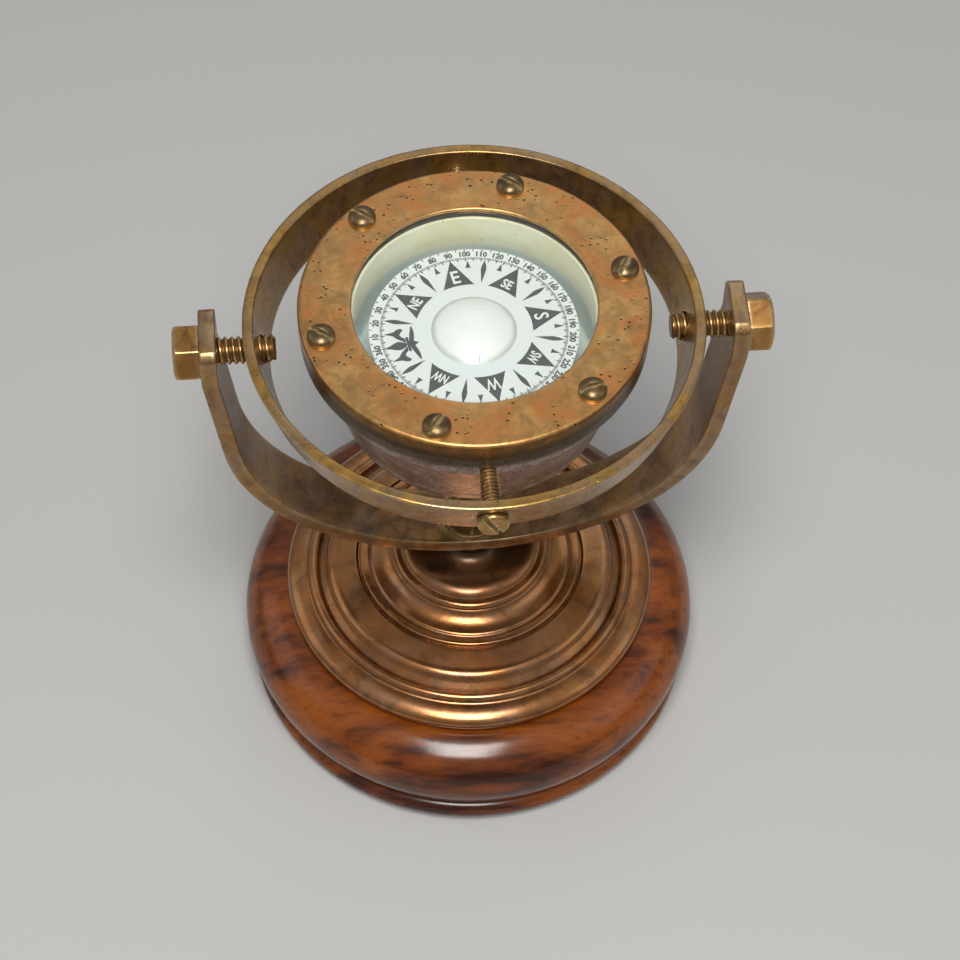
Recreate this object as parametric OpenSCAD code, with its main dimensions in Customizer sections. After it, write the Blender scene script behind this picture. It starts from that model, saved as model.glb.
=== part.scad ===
// Gimbal compass: a brass compass bowl hung in a gimbal ring, carried by a strap yoke
// on a turned brass pedestal and a turned wooden base.
// Millimetres. +Z is up, X runs along the two hexagon pivot bolts, the origin is at the
// centre of the underside. Heights named *_z are above the table. Heights named *_up are
// above the pivot axis of the bowl, and in the yoke above the axis of the hexagon bolts.

/* [Overall] */
// Height of the pivot axis of the bowl above the table
axis_z = 120.8; // [120:0.1:124]

/* [Wooden base] */
// Thickness of the felt pad underneath
pad_t = 1.2; // [0.8:0.1:2]
// Radius of the felt pad
pad_r = 48; // [40:0.5:50]
// Largest radius of the wooden base
wood_r = 54.4; // [52:0.1:58]
// Height of the wooden base over the pad
wood_h = 25.2; // [24:0.1:26]
// Radius of the flat top of the wood, where the cushion roll ends
wood_top_r = 42.4; // [41:0.1:44]
// Height of the widest point of the cushion roll over the pad
wood_belly = 14.5; // [13:0.1:16]
// Radius of the foot bead at the bottom of the wood
foot_bead = 2.6; // [2:0.1:2.8]
// Radius of the pocket underneath that holds the bolt head
pocket_r = 11; // [10:0.5:14]
// Depth of that pocket
pocket_h = 8; // [7:0.5:10]

/* [Brass flange and pedestal] */
// Outer radius of the brass flange
flange_r = 43.8; // [43.4:0.1:44.2]
// Radius of the rolled rim of the flange
flange_roll = 2.6; // [2.2:0.1:2.7]
// Radius of the raised bead on the flange
flange_bead = 1.2; // [0.9:0.1:1.3]
// Radius of the pedestal at its foot
pedestal_r = 26.3; // [25.6:0.1:26.6]
// Radius of the neck under the yoke
neck_r = 6.4; // [5.5:0.1:7]

/* [Yoke] */
// Width of the yoke strap
strap_w = 15; // [14:0.1:16]
// Thickness of the yoke strap
strap_t = 3.6; // [3.2:0.1:3.8]
// Distance from the centre to the outer face of each lug
lug_x = 58; // [57.6:0.1:58.6]
// Height of the lug top over the bolt axis
lug_up = 6.9; // [6:0.1:8]
// Chamfer on the two corners of each lug top
lug_chamfer = 1.8; // [1:0.1:3]
// Inward lean of the legs below the lugs, in degrees
leg_lean = 6.9; // [6:0.1:8]
// Depth of the lowest point of the yoke under the bolt axis
yoke_drop = 71.3; // [70.6:0.1:72]
// Radius of the shallow arc at the bottom of the yoke
yoke_floor_r = 60.2; // [58:0.1:63]
// Radius of the two arcs that lead into the legs
yoke_side_r = 46.2; // [44:0.1:48]

/* [Pivot bolts] */
// Radius of the pivot bolt shank
bolt_r = 3; // [2.8:0.05:3.2]
// Width of the hexagon head across its flats
bolt_flats = 11.3; // [10:0.1:11.8]
// Height of the hexagon head
bolt_head = 5.6; // [4:0.1:6]
// Distance from the centre to the tip of each bolt
bolt_tip_x = 42; // [41:0.1:43]
// Depth of the bolt axis under the middle of the gimbal ring
bolt_drop = 1.2; // [0:0.1:1.4]

/* [Gimbal ring] */
// Outer radius of the ring at its top edge
ring_r = 49; // [48.5:0.1:49.5]
// Height of the ring
ring_h = 11; // [10:0.1:12]
// Thickness of the ring wall
ring_t = 2.4; // [2.2:0.1:2.8]
// How much smaller the bottom edge of the ring is than the top edge
ring_taper = 3.3; // [2.6:0.1:3.6]

/* [Bowl] */
// Radius of the bezel and of the bowl rim below it
bezel_r = 37.1; // [36.5:0.1:37.4]
// Height of the bezel top over the pivot axis
bezel_up = 10.4; // [10:0.1:11]
// Thickness of the bezel
bezel_h = 5.2; // [4.8:0.1:5.6]
// Radius of the glass opening
window_r = 25.75; // [25.5:0.05:26]
// Thickness of the bowl rim
rim_h = 3; // [2.6:0.1:3.1]
// Outer radius of the bowl just below its rim
bowl_r = 33.4; // [33:0.1:34]
// Outer radius of the bowl where its rounded bottom starts
bowl_low_r = 29.5; // [29:0.1:30.5]
// Radius of the rounded bottom corner of the bowl
bowl_corner = 7.5; // [6:0.1:8]
// Depth of the bottom of the bowl under the pivot axis
bowl_drop = 24; // [23.5:0.1:25]
// Radius of the cavity in the bowl
cavity_r = 26; // [25.9:0.05:26.4]
// Depth of the cavity floor under the pivot axis
cavity_drop = 16; // [15.5:0.1:16.5]
// Number of screws that hold the bezel
bezel_screw_count = 6; // [4:1:8]
// Radius of the circle of bezel screws
bezel_screw_circle = 33.1; // [32.5:0.1:33.2]
// Radius of the pivot screw shank of the bowl
screw_r = 2; // [1.8:0.05:2.2]

/* [Compass card] */
// Radius of the card
card_r = 22.3; // [21.8:0.1:23]
// Height of the face of the card over the pivot axis
card_up = 0.4; // [0:0.1:2]
// Radius of the float dome in the middle of the card
dome_r = 9.1; // [8:0.1:9.6]
// Direction of north on the card, in degrees counter-clockwise from +X
heading = 191; // [0:1:359]

/* [Hidden] */
$fn = 96;

aged_brass = [0.55, 0.40, 0.20];
dark_brass = [0.42, 0.30, 0.16];
old_wood = [0.42, 0.16, 0.08];

// Shared clearances
eps = 0.01;
run_gap = 0.05;
loose_gap = 0.2;

// Heights from the table upwards
wood_z = pad_t;
flange_z = wood_z + wood_h;
pedestal_z = flange_z + 9.2;
bolt_z = axis_z - bolt_drop;
yoke_foot_cut = 0.4;
neck_top_z = bolt_z - yoke_drop + yoke_foot_cut;
yoke_floor_z = bolt_z - yoke_drop + strap_t;

// Centre bolt that clamps the yoke, the pedestal, the flange and the wood
clamp_r = 3;
clamp_flats = 10;
clamp_head = 4;
clamp_nut = 5;
clamp_washer_t = 1.2;
clamp_washer_r = 9;
clamp_washer_z = wood_z + pocket_h - clamp_washer_t;
nut_washer_t = 1;
nut_washer_r = 6.5;
clamp_end_z = yoke_floor_z + nut_washer_t + clamp_nut + 1.6;

// Each leg leans in below its lug and runs on into a side arc, and that into the floor arc.
// The side arc touches the leg and the floor arc without a corner.
lug_foot_up = -2.7;
floor_arc_up = yoke_floor_r - yoke_drop;
leg_out = [cos(leg_lean), -sin(leg_lean)];
leg_down = [-sin(leg_lean), -cos(leg_lean)];
leg_distance = [lug_x, lug_foot_up] * leg_out - yoke_side_r;
arc_offset = leg_distance * leg_out - [0, floor_arc_up];
arc_spacing = yoke_floor_r - yoke_side_r;
down_part = arc_offset * leg_down;
arc_slide = sqrt(pow(down_part, 2) - arc_offset * arc_offset + pow(arc_spacing, 2)) - down_part;
side_arc = leg_distance * leg_out + arc_slide * leg_down;
// Direction, from the centre of the floor arc, in which the two arcs meet
arc_join = atan2(side_arc[1] - floor_arc_up, side_arc[0]);

// Gimbal ring
ring_mid_r = ring_r - ring_taper / 2;
ring_edge = 0.5;
spot_r = 3.7;
spot_y = ring_mid_r - 0.45;

// Bowl stack, as heights over the pivot axis
rim_up = bezel_up - bezel_h;
recess_r = 28.9;
pane_r = 28.7;
lip_t = 0.8;
glass_t = 1.6;
gasket_t = 1.1;
seat_up = bezel_up - lip_t - glass_t - gasket_t;
liner_t = 0.5;
ballast_r = 22;
ballast_t = 4.5;
pivot_head_r = 3.3;
pivot_head_h = 2.4;
pivot_head_y = spot_y + 0.3;
pivot_end_y = 28.5;
bezel_screw_r = 1.5;
bezel_head_r = 3;
bezel_head_h = 2.1;
bezel_screw_start = 12;

// Card stack, as heights over the pivot axis
card_t = 0.6;
card_hole_r = 5;
dome_h = 2.6;
float_r = 9;
float_low_r = 6;
float_drop = 5;
jewel_r = 2;
jewel_h = 4;
jewel_mouth_r = 1.6;
tip_r = 0.3;
tip_gap = 0.1;
post_r = 1.2;
post_foot_r = 2;

// Points along an arc from angle a0 to angle a1
function arc_pts(cx, cy, r, a0, a1, n) =
    [for (i = [0:n]) let (a = a0 + (a1 - a0) * i / n) [cx + r * cos(a), cy + r * sin(a)]];

// The same for an ellipse with semi-axes rx and ry
function oval_pts(cx, cy, rx, ry, a0, a1, n) =
    [for (i = [0:n]) let (a = a0 + (a1 - a0) * i / n) [cx + rx * cos(a), cy + ry * sin(a)]];

function reversed(list) = [for (i = [len(list) - 1:-1:0]) list[i]];

// Mirror a half outline to make the closed outline, symmetric about x = 0
function both_sides(half) = concat(half, reversed([for (p = half) [-p[0], p[1]]]));

// Solid of revolution about Z from a half outline of [radius, height] points
module turned(points) {
    rotate_extrude() polygon(points);
}

// Ring with a square section
module band(outer, inner, height) {
    difference() {
        cylinder(r = outer, h = height);
        translate([0, 0, -eps]) cylinder(r = inner, h = height + 2 * eps);
    }
}

// Hexagon prism, its corners cut back at one end by a turned crown
module hex_head(flats, height, crown) {
    corner_r = flats / 2 / cos(30);
    intersection() {
        cylinder(r = corner_r, h = height, $fn = 6);
        union() {
            cylinder(r = corner_r + 1, h = height - crown);
            translate([0, 0, height - crown])
                cylinder(r1 = corner_r + 0.35, r2 = flats / 2 - 0.5, h = crown);
        }
    }
}

// Round shank with a chamfered end, along +Z
module shank(r, length, chamfer) {
    cylinder(r = r, h = length - chamfer);
    translate([0, 0, length - chamfer]) cylinder(r1 = r, r2 = r - chamfer, h = chamfer);
}

module felt_pad() {
    color([0.10, 0.22, 0.14])
        cylinder(r = pad_r, h = pad_t);
}

module wood_base() {
    foot_inset = 1.1;
    foot_r = wood_r - foot_inset - foot_bead;
    roll = wood_r - wood_top_r;
    roll_under = 2.6;
    outline = concat(
        [[0, 0]],
        arc_pts(foot_r, foot_bead, foot_bead, -90, 78, 12),
        oval_pts(wood_top_r, wood_belly, roll, wood_belly - roll_under, -45, 0, 10),
        oval_pts(wood_top_r, wood_belly, roll, wood_h - wood_belly, 4.5, 90, 20),
        [[0, wood_h]]
    );
    color(old_wood)
        difference() {
            translate([0, 0, wood_z]) turned(outline);
            translate([0, 0, wood_z - eps]) cylinder(r = pocket_r, h = pocket_h + eps);
            translate([0, 0, wood_z]) cylinder(r = clamp_r + loose_gap, h = wood_h + 1);
        }
}

module base_flange() {
    roll_r = flange_r - flange_roll;
    roll_top = 2 * flange_roll;
    roll_reach = 4.6;
    bead_r = 37.5;
    bead_z = roll_top + 0.4;
    groove_r = 36.2;
    shoulder_r = 32.9;
    shoulder_z = 7.4;
    shoulder_round = 1.5;
    dish_r = pedestal_r + 0.7;
    dish_z = 10;
    seat_h = pedestal_z - flange_z;
    outline = concat(
        [[clamp_r + loose_gap, 0], [roll_r, 0]],
        arc_pts(roll_r, flange_roll, flange_roll, -60, -8, 6),
        oval_pts(flange_r - roll_reach, flange_roll, roll_reach, flange_roll, 0, 88, 14),
        [[bead_r + flange_bead + 0.2, roll_top + 0.15]],
        arc_pts(bead_r, bead_z, flange_bead, 0, 165, 12),
        [[groove_r, bead_z + 0.2]],
        arc_pts(shoulder_r, shoulder_z, shoulder_round, 20, 90, 8),
        [[dish_r + 0.3, dish_z], [dish_r, dish_z - 0.2], [dish_r - 0.4, seat_h]],
        [[clamp_r + loose_gap, seat_h]]
    );
    color(aged_brass)
        translate([0, 0, flange_z]) turned(outline);
}

module pedestal() {
    lip_z = 0.9;
    lip_round = 0.5;
    groove_r = pedestal_r - 2.3;
    cove_r = pedestal_r - 2.9;
    cove_z = 4.7;
    cove_h = 3.2;
    bead_r = 17.3;
    bead_z = 4.3;
    bead_round = 1.2;
    cove_w = cove_r - bead_r - bead_round + 0.1;
    boss_r = 13.4;
    boss_z = 5.3;
    boss_w = 3.4;
    boss_h = 2.6;
    ledge_r = 10.4;
    ledge_z = boss_z + boss_h;
    top = neck_top_z - pedestal_z;
    neck_cove_h = 0.45 * (top - ledge_z);
    outline = concat(
        [[clamp_r + loose_gap, 0], [pedestal_r, 0]],
        arc_pts(pedestal_r - lip_round, lip_z, lip_round, 0, 90, 4),
        [[groove_r + 0.3, lip_z + lip_round - 0.1], [groove_r, lip_z + 0.1], [groove_r - 0.3, lip_z + 0.2]],
        oval_pts(cove_r, cove_z, cove_w, cove_h, -90, -160, 12),
        arc_pts(bead_r, bead_z, bead_round, -25, 95, 10),
        oval_pts(boss_r, boss_z, boss_w, boss_h, 5, 90, 12),
        [[ledge_r + 0.4, ledge_z]],
        oval_pts(ledge_r, ledge_z + neck_cove_h, ledge_r - neck_r, neck_cove_h, -90, -180, 10),
        [[neck_r, top - 1.4], [neck_r + 1, top - 0.5], [neck_r + 1, top], [clamp_r + loose_gap, top]]
    );
    color(aged_brass)
        translate([0, 0, pedestal_z]) turned(outline);
}

module base_washer() {
    color(dark_brass)
        translate([0, 0, clamp_washer_z])
            band(clamp_washer_r, clamp_r + loose_gap, clamp_washer_t);
}

module centre_bolt() {
    color(dark_brass)
        translate([0, 0, clamp_washer_z])
            union() {
                mirror([0, 0, 1]) hex_head(clamp_flats, clamp_head, 0.6);
                shank(clamp_r, clamp_end_z - clamp_washer_z, 0.5);
            }
}

// Half outline of the yoke, drawn in X and height over the bolt axis, moved inwards by inset
function yoke_half(inset) = concat(
    arc_pts(0, floor_arc_up, yoke_floor_r - inset, -90, arc_join, 14),
    arc_pts(side_arc[0], side_arc[1], yoke_side_r - inset, arc_join, -leg_lean, 18),
    [
        [lug_x - inset, lug_foot_up + inset * tan(leg_lean / 2)],
        [lug_x - inset, lug_up]
    ]
);

// The same outline from the left lug down and up to the right lug
function yoke_line(inset) = let (half = yoke_half(inset)) concat(
    reversed([for (p = half) [-p[0], p[1]]]),
    [for (i = [1:len(half) - 1]) half[i]]
);

// Outline of the strap seen along X: straight sides and a chamfered lug top
module strap_side() {
    half_w = strap_w / 2;
    polygon(both_sides([
        [half_w, -yoke_drop - 1],
        [half_w, lug_up - lug_chamfer],
        [half_w - lug_chamfer, lug_up]
    ]));
}

module yoke() {
    color(aged_brass)
        translate([0, 0, bolt_z])
            difference() {
                intersection() {
                    rotate([90, 0, 0])
                        linear_extrude(height = strap_w + 2, center = true)
                            polygon(concat(yoke_line(0), reversed(yoke_line(strap_t))));
                    rotate([90, 0, 90])
                        linear_extrude(height = 2 * lug_x + 2, center = true)
                            strap_side();
                }
                // Bores for the two pivot bolts
                rotate([0, 90, 0]) cylinder(r = bolt_r, h = 2 * lug_x + 2, center = true);
                // Bore and seat for the centre bolt
                translate([0, 0, -yoke_drop - 1]) cylinder(r = clamp_r + 0.1, h = strap_t + 3);
                translate([0, 0, strap_t - yoke_drop]) cylinder(r = nut_washer_r + 0.5, h = 3);
                // Flat underneath, which stands on the neck
                translate([-15, -strap_w, -yoke_drop - 1]) cube([30, 2 * strap_w, 1 + yoke_foot_cut]);
            }
}

module yoke_washer() {
    color(dark_brass)
        translate([0, 0, yoke_floor_z]) band(nut_washer_r, clamp_r + loose_gap, nut_washer_t);
}

module yoke_nut() {
    color(dark_brass)
        translate([0, 0, yoke_floor_z + nut_washer_t])
            difference() {
                hex_head(clamp_flats, clamp_nut, 0.7);
                translate([0, 0, -eps]) cylinder(r = clamp_r, h = clamp_nut + 1);
            }
}

// Hexagon bolt on the +X side, its tip towards the middle
module pivot_bolt(turn) {
    color(aged_brass)
        translate([lug_x, 0, bolt_z])
            rotate([turn, 0, 0])
                union() {
                    rotate([0, 90, 0]) hex_head(bolt_flats, bolt_head, 0.9);
                    rotate([0, -90, 0]) shank(bolt_r, lug_x - bolt_tip_x, 0.7);
                }
}

module pivot_bolt_right() {
    pivot_bolt(22);
}

module pivot_bolt_left() {
    mirror([1, 0, 0]) pivot_bolt(-8);
}

module gimbal_ring() {
    low = -ring_h / 2;
    high = ring_h / 2;
    low_r = ring_r - ring_taper;
    outline = [
        [low_r - ring_t + ring_edge, low],
        [low_r - ring_edge, low],
        [low_r, low + ring_edge],
        [ring_r, high - ring_edge],
        [ring_r - ring_edge, high],
        [ring_r - ring_t + ring_edge, high],
        [ring_r - ring_t, high - ring_edge],
        [low_r - ring_t, low + ring_edge]
    ];
    color(aged_brass)
        translate([0, 0, axis_z])
            difference() {
                turned(outline);
                // Running bores on the two hexagon bolts
                translate([0, 0, -bolt_drop]) rotate([0, 90, 0])
                    cylinder(r = bolt_r + run_gap, h = 2 * ring_r + 4, center = true);
                // Running bores and flat seats for the two pivot screws of the bowl
                rotate([90, 0, 0])
                    cylinder(r = screw_r + run_gap, h = 2 * ring_r + 4, center = true);
                for (side = [-1, 1])
                    scale([1, side, 1])
                        translate([0, spot_y, 0]) rotate([-90, 0, 0]) cylinder(r = spot_r, h = 6);
            }
}

// Slotted pivot screw on the -Y side, its end towards the middle
module bowl_pivot_screw() {
    color(dark_brass)
        translate([0, -pivot_head_y, axis_z])
            difference() {
                union() {
                    rotate([90, 0, 0])
                        turned(concat(
                            [[0, 0], [pivot_head_r, 0], [pivot_head_r, pivot_head_h - 0.8]],
                            arc_pts(pivot_head_r - 0.8, pivot_head_h - 0.8, 0.8, 15, 90, 5),
                            [[0, pivot_head_h]]
                        ));
                    rotate([-90, 0, 0]) shank(screw_r, pivot_head_y - pivot_end_y, 0.4);
                }
                // Screwdriver slot
                rotate([0, 60, 0])
                    translate([-5, -pivot_head_h - 1, -0.5]) cube([10, 2.1, 1]);
            }
}

module bowl_pivot_screw_front() {
    bowl_pivot_screw();
}

module bowl_pivot_screw_rear() {
    rotate([0, 0, 180]) bowl_pivot_screw();
}

module bowl() {
    corner_r = bowl_low_r - bowl_corner;
    corner_up = bowl_corner - bowl_drop;
    wall_taper = 0.5;
    taper_up = -5;
    rim_low = rim_up - rim_h;
    rim_r = bezel_r - 0.2;
    rim_chamfer = 0.5;
    seat_r = recess_r - loose_gap;
    cavity_cone_h = 3.6;
    outline = concat(
        [[0, -bowl_drop]],
        arc_pts(corner_r, corner_up, bowl_corner, -90, -6, 12),
        [[bowl_r - wall_taper, taper_up], [bowl_r, 0], [bowl_r, rim_low]],
        [[rim_r - rim_chamfer, rim_low], [rim_r, rim_low + rim_chamfer], [rim_r, rim_up]],
        [[seat_r, rim_up], [seat_r, seat_up], [cavity_r, seat_up]],
        [[cavity_r, cavity_cone_h - cavity_drop], [ballast_r + loose_gap, -cavity_drop], [0, -cavity_drop]]
    );
    color(dark_brass)
        translate([0, 0, axis_z])
            difference() {
                turned(outline);
                // Blind bores for the two pivot screws
                for (side = [0, 180])
                    rotate([0, 0, side])
                        translate([0, pivot_end_y - 0.2, 0])
                            rotate([-90, 0, 0]) cylinder(r = screw_r, h = 10);
                // Threaded holes for the bezel screws
                bezel_screw_places()
                    translate([0, 0, rim_up - rim_h - 1]) cylinder(r = bezel_screw_r, h = rim_h + 2);
            }
}

// Places its children at each bezel screw, in the frame of the bowl's pivot axis
module bezel_screw_places() {
    for (i = [0:bezel_screw_count - 1])
        rotate([0, 0, bezel_screw_start + 360 * i / bezel_screw_count])
            translate([bezel_screw_circle, 0, 0])
                children();
}

// Painted cup that lines the cavity and stands on the ballast
module liner() {
    cup_floor = ballast_t - cavity_drop;
    wall_r = cavity_r - liner_t;
    hole_r = post_foot_r + 0.1;
    color([0.85, 0.82, 0.70])
        translate([0, 0, axis_z])
            turned([
                [hole_r, cup_floor], [cavity_r, cup_floor], [cavity_r, seat_up],
                [wall_r, seat_up], [wall_r, cup_floor + liner_t], [hole_r, cup_floor + liner_t]
            ]);
}

module ballast() {
    color([0.35, 0.35, 0.36])
        translate([0, 0, axis_z - cavity_drop]) band(ballast_r, post_foot_r, ballast_t);
}

module pivot_post() {
    tip_up = jewel_h - float_drop - 1 - tip_gap;
    foot = cavity_drop;
    color([0.62, 0.60, 0.55])
        translate([0, 0, axis_z])
            turned([
                [0, -foot], [post_foot_r, -foot], [post_foot_r, ballast_t - foot + 1.5],
                [post_r, ballast_t - foot + 2.3], [post_r, tip_up - 3], [tip_r, tip_up - 0.1],
                [0, tip_up]
            ]);
}

module gasket() {
    color([0.08, 0.08, 0.08])
        translate([0, 0, axis_z + seat_up]) band(pane_r, cavity_r + loose_gap, gasket_t);
}

module glass() {
    color([0.80, 0.88, 0.86, 0.35])
        translate([0, 0, axis_z + seat_up + gasket_t]) cylinder(r = pane_r, h = glass_t);
}

module bezel() {
    round_r = 0.9;
    low_edge = 0.3;
    window_edge = 0.4;
    lip_low = bezel_h - lip_t;
    outline = concat(
        [[recess_r, 0], [bezel_r - low_edge, 0], [bezel_r, low_edge]],
        arc_pts(bezel_r - round_r, bezel_h - round_r, round_r, 0, 90, 8),
        [[window_r + window_edge, bezel_h], [window_r, bezel_h - window_edge]],
        [[window_r, lip_low], [recess_r, lip_low]]
    );
    color(aged_brass)
        translate([0, 0, axis_z + rim_up])
            difference() {
                turned(outline);
                bezel_screw_places()
                    translate([0, 0, -1]) cylinder(r = bezel_screw_r + 0.1, h = bezel_h + 2);
            }
}

// Slot directions of the bezel screws, as each was last tightened, in degrees from +X
slot_turns = [60, 142, 142, 144, 52, 16];

module bezel_screws() {
    color(dark_brass)
        translate([0, 0, axis_z])
            for (i = [0:bezel_screw_count - 1]) {
                place = bezel_screw_start + 360 * i / bezel_screw_count;
                rotate([0, 0, place])
                    translate([bezel_screw_circle, 0, bezel_up])
                        rotate([0, 0, slot_turns[i % len(slot_turns)] - place])
                            bezel_screw();
            }
}

// Slotted pan-head screw with its head on the plane z = 0
module bezel_screw() {
    below = bezel_h + rim_h;
    difference() {
        union() {
            turned(concat(
                [[0, 0], [bezel_head_r, 0], [bezel_head_r, 0.5]],
                oval_pts(0, 0.5, bezel_head_r, bezel_head_h - 0.5, 15, 75, 5),
                [[0, bezel_head_h]]
            ));
            mirror([0, 0, 1]) shank(bezel_screw_r, below, 0.3);
        }
        translate([-4, -0.4, 0.8]) cube([8, 0.8, 3]);
    }
}

module compass_card() {
    color([0.93, 0.93, 0.90])
        translate([0, 0, axis_z + card_up - card_t]) band(card_r, card_hole_r, card_t);
}

module float() {
    sphere_r = (pow(dome_r, 2) + pow(dome_h, 2)) / (2 * dome_h);
    dome_half = asin(dome_r / sphere_r);
    under = card_up - card_t;
    side_up = under - 1.4;
    side_h = float_drop + side_up - 0.8;
    outline = concat(
        [[jewel_r, -float_drop], [float_low_r, -float_drop]],
        oval_pts(float_low_r, side_up, float_r - float_low_r, side_h, -75, 0, 6),
        [[float_r, under], [card_hole_r, under], [card_hole_r, card_up]],
        arc_pts(0, card_up + dome_h - sphere_r, sphere_r, 90 - dome_half, 90, 10),
        [[0, jewel_h - float_drop], [jewel_r, jewel_h - float_drop]]
    );
    color([0.90, 0.91, 0.86])
        translate([0, 0, axis_z]) turned(outline);
}

module magnets() {
    bar = [26, 3, 2.5];
    spread = 11.5;
    color([0.25, 0.25, 0.27])
        translate([0, 0, axis_z + card_up - card_t])
            rotate([0, 0, heading])
                for (side = [-1, 1])
                    translate([-bar[0] / 2, side * spread - bar[1] / 2, -bar[2]]) cube(bar);
}

module jewel_cup() {
    recess = jewel_h - 1;
    color([0.55, 0.12, 0.18])
        translate([0, 0, axis_z - float_drop])
            difference() {
                cylinder(r = jewel_r, h = jewel_h);
                translate([0, 0, -eps])
                    cylinder(r1 = jewel_mouth_r + eps, r2 = tip_r + run_gap, h = recess + eps);
            }
}

felt_pad();
wood_base();
base_flange();
pedestal();
base_washer();
centre_bolt();
yoke();
yoke_washer();
yoke_nut();
pivot_bolt_left();
pivot_bolt_right();
gimbal_ring();
bowl_pivot_screw_front();
bowl_pivot_screw_rear();
bowl();
liner();
ballast();
pivot_post();
gasket();
glass();
bezel();
bezel_screws();
compass_card();
float();
magnets();
jewel_cup();
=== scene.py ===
# %% [markdown]
# # A gimbal compass in brass and wood
# A compass bowl hangs in a ring, and the ring hangs in a forked strap, so that the card stays
# level on a rolling deck. The engineering model of the same object fixes every size and every
# pivot. This lesson dresses it: it makes the visible pieces finely, prints the card, cuts the
# threads and gives each piece a finish that has aged. Everything is in metres in one frame.

import math
from contextlib import contextmanager

import bmesh
import bpy
import numpy as np
from mathutils import Matrix, Vector


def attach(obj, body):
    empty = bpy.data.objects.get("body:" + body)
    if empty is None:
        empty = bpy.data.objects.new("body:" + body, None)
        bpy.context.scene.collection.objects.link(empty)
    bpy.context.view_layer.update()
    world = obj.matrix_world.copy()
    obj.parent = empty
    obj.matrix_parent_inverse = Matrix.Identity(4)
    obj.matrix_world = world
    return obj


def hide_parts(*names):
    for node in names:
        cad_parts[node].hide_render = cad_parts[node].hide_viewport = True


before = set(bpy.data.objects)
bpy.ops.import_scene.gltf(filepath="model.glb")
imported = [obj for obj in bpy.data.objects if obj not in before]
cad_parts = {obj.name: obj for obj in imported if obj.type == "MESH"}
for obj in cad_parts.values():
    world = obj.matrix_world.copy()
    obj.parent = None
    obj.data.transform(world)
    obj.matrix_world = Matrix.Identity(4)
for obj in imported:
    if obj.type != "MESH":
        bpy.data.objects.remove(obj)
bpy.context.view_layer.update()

# %% [markdown]
# ## The camera
# The viewpoint comes first, because it decides which details can be seen. The eye stands in
# front, a little to the left and well above. A long lens at 0.6 m keeps the ellipses of the
# ring and the base nearly parallel. The lens axis passes a few pixels beside the point that
# it is levelled at, and the picture leans by about one degree.

# %% Place the camera
MM = 0.001
PICTURE_PX = 960
FILM_MM = 36.0
EYE_DISTANCE = 0.600
EYE_AZIMUTH = math.radians(-5.53)
EYE_ELEVATION = math.radians(55.76)
FOCAL_PX = 2575.25
OFF_AXIS_PX = (-8.91, 28.18)
LEAN = math.radians(1.167)
SIGHT = Vector((0, 0, 55 * MM))


def look_from(azimuth, elevation):
    """Direction from the object towards somebody at that azimuth (0 is the front) and height."""
    level = math.cos(elevation)
    return Vector((math.sin(azimuth) * level, -math.cos(azimuth) * level, math.sin(elevation)))


def lens_frame():
    """Rows are the picture's right, down and forward directions, in the object's frame."""
    back = look_from(EYE_AZIMUTH, EYE_ELEVATION)
    right = (-back).cross(Vector((0, 0, 1))).normalized()
    pan = Matrix.Rotation(math.atan2(OFF_AXIS_PX[0], FOCAL_PX), 3, "Y")
    tilt = Matrix.Rotation(-math.atan2(OFF_AXIS_PX[1], FOCAL_PX), 3, "X")
    return Matrix.Rotation(LEAN, 3, "Z") @ tilt @ pan @ Matrix((right, right.cross(back), -back))


def shown(name, data):
    """New object in the scene, at the origin, for a mesh, a lamp or a lens."""
    made = bpy.data.objects.new(name, data)
    bpy.context.scene.collection.objects.link(made)
    return made


lens = bpy.data.cameras.new("viewpoint")
lens.sensor_width = FILM_MM
lens.lens = FOCAL_PX * FILM_MM / PICTURE_PX
lens.clip_start = 0.01
camera = shown("viewpoint", lens)
across, down, ahead = lens_frame()
eye = SIGHT + look_from(EYE_AZIMUTH, EYE_ELEVATION) * EYE_DISTANCE
camera.matrix_world = Matrix.Translation(eye) @ Matrix((across, -down, -ahead)).transposed().to_4x4()
bpy.context.scene.camera = camera
bpy.context.scene.view_settings.view_transform = "Standard"
print("lens", round(lens.lens, 2), "mm")

# %% [markdown]
# ## A workbench for node trees
# The room, every finish and every repeated shape below is a tree of nodes. Two small helpers
# keep the trees readable: one adds a node and feeds its inputs, the other lets the values
# between nodes be used in ordinary sums.

# %% Node helpers


class Wire:
    """A value on its way from one node to the next, which can be used in sums."""

    def __init__(self, nodes, socket):
        self.nodes, self.socket = nodes, socket

    def __add__(self, other):
        return self.nodes.calc("ADD", self, other)

    def __sub__(self, other):
        return self.nodes.calc("SUBTRACT", self, other)

    def __rsub__(self, other):
        return self.nodes.calc("SUBTRACT", other, self)

    def __mul__(self, other):
        return self.nodes.calc("MULTIPLY", self, other)

    def __truediv__(self, other):
        return self.nodes.calc("DIVIDE", self, other)


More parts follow.
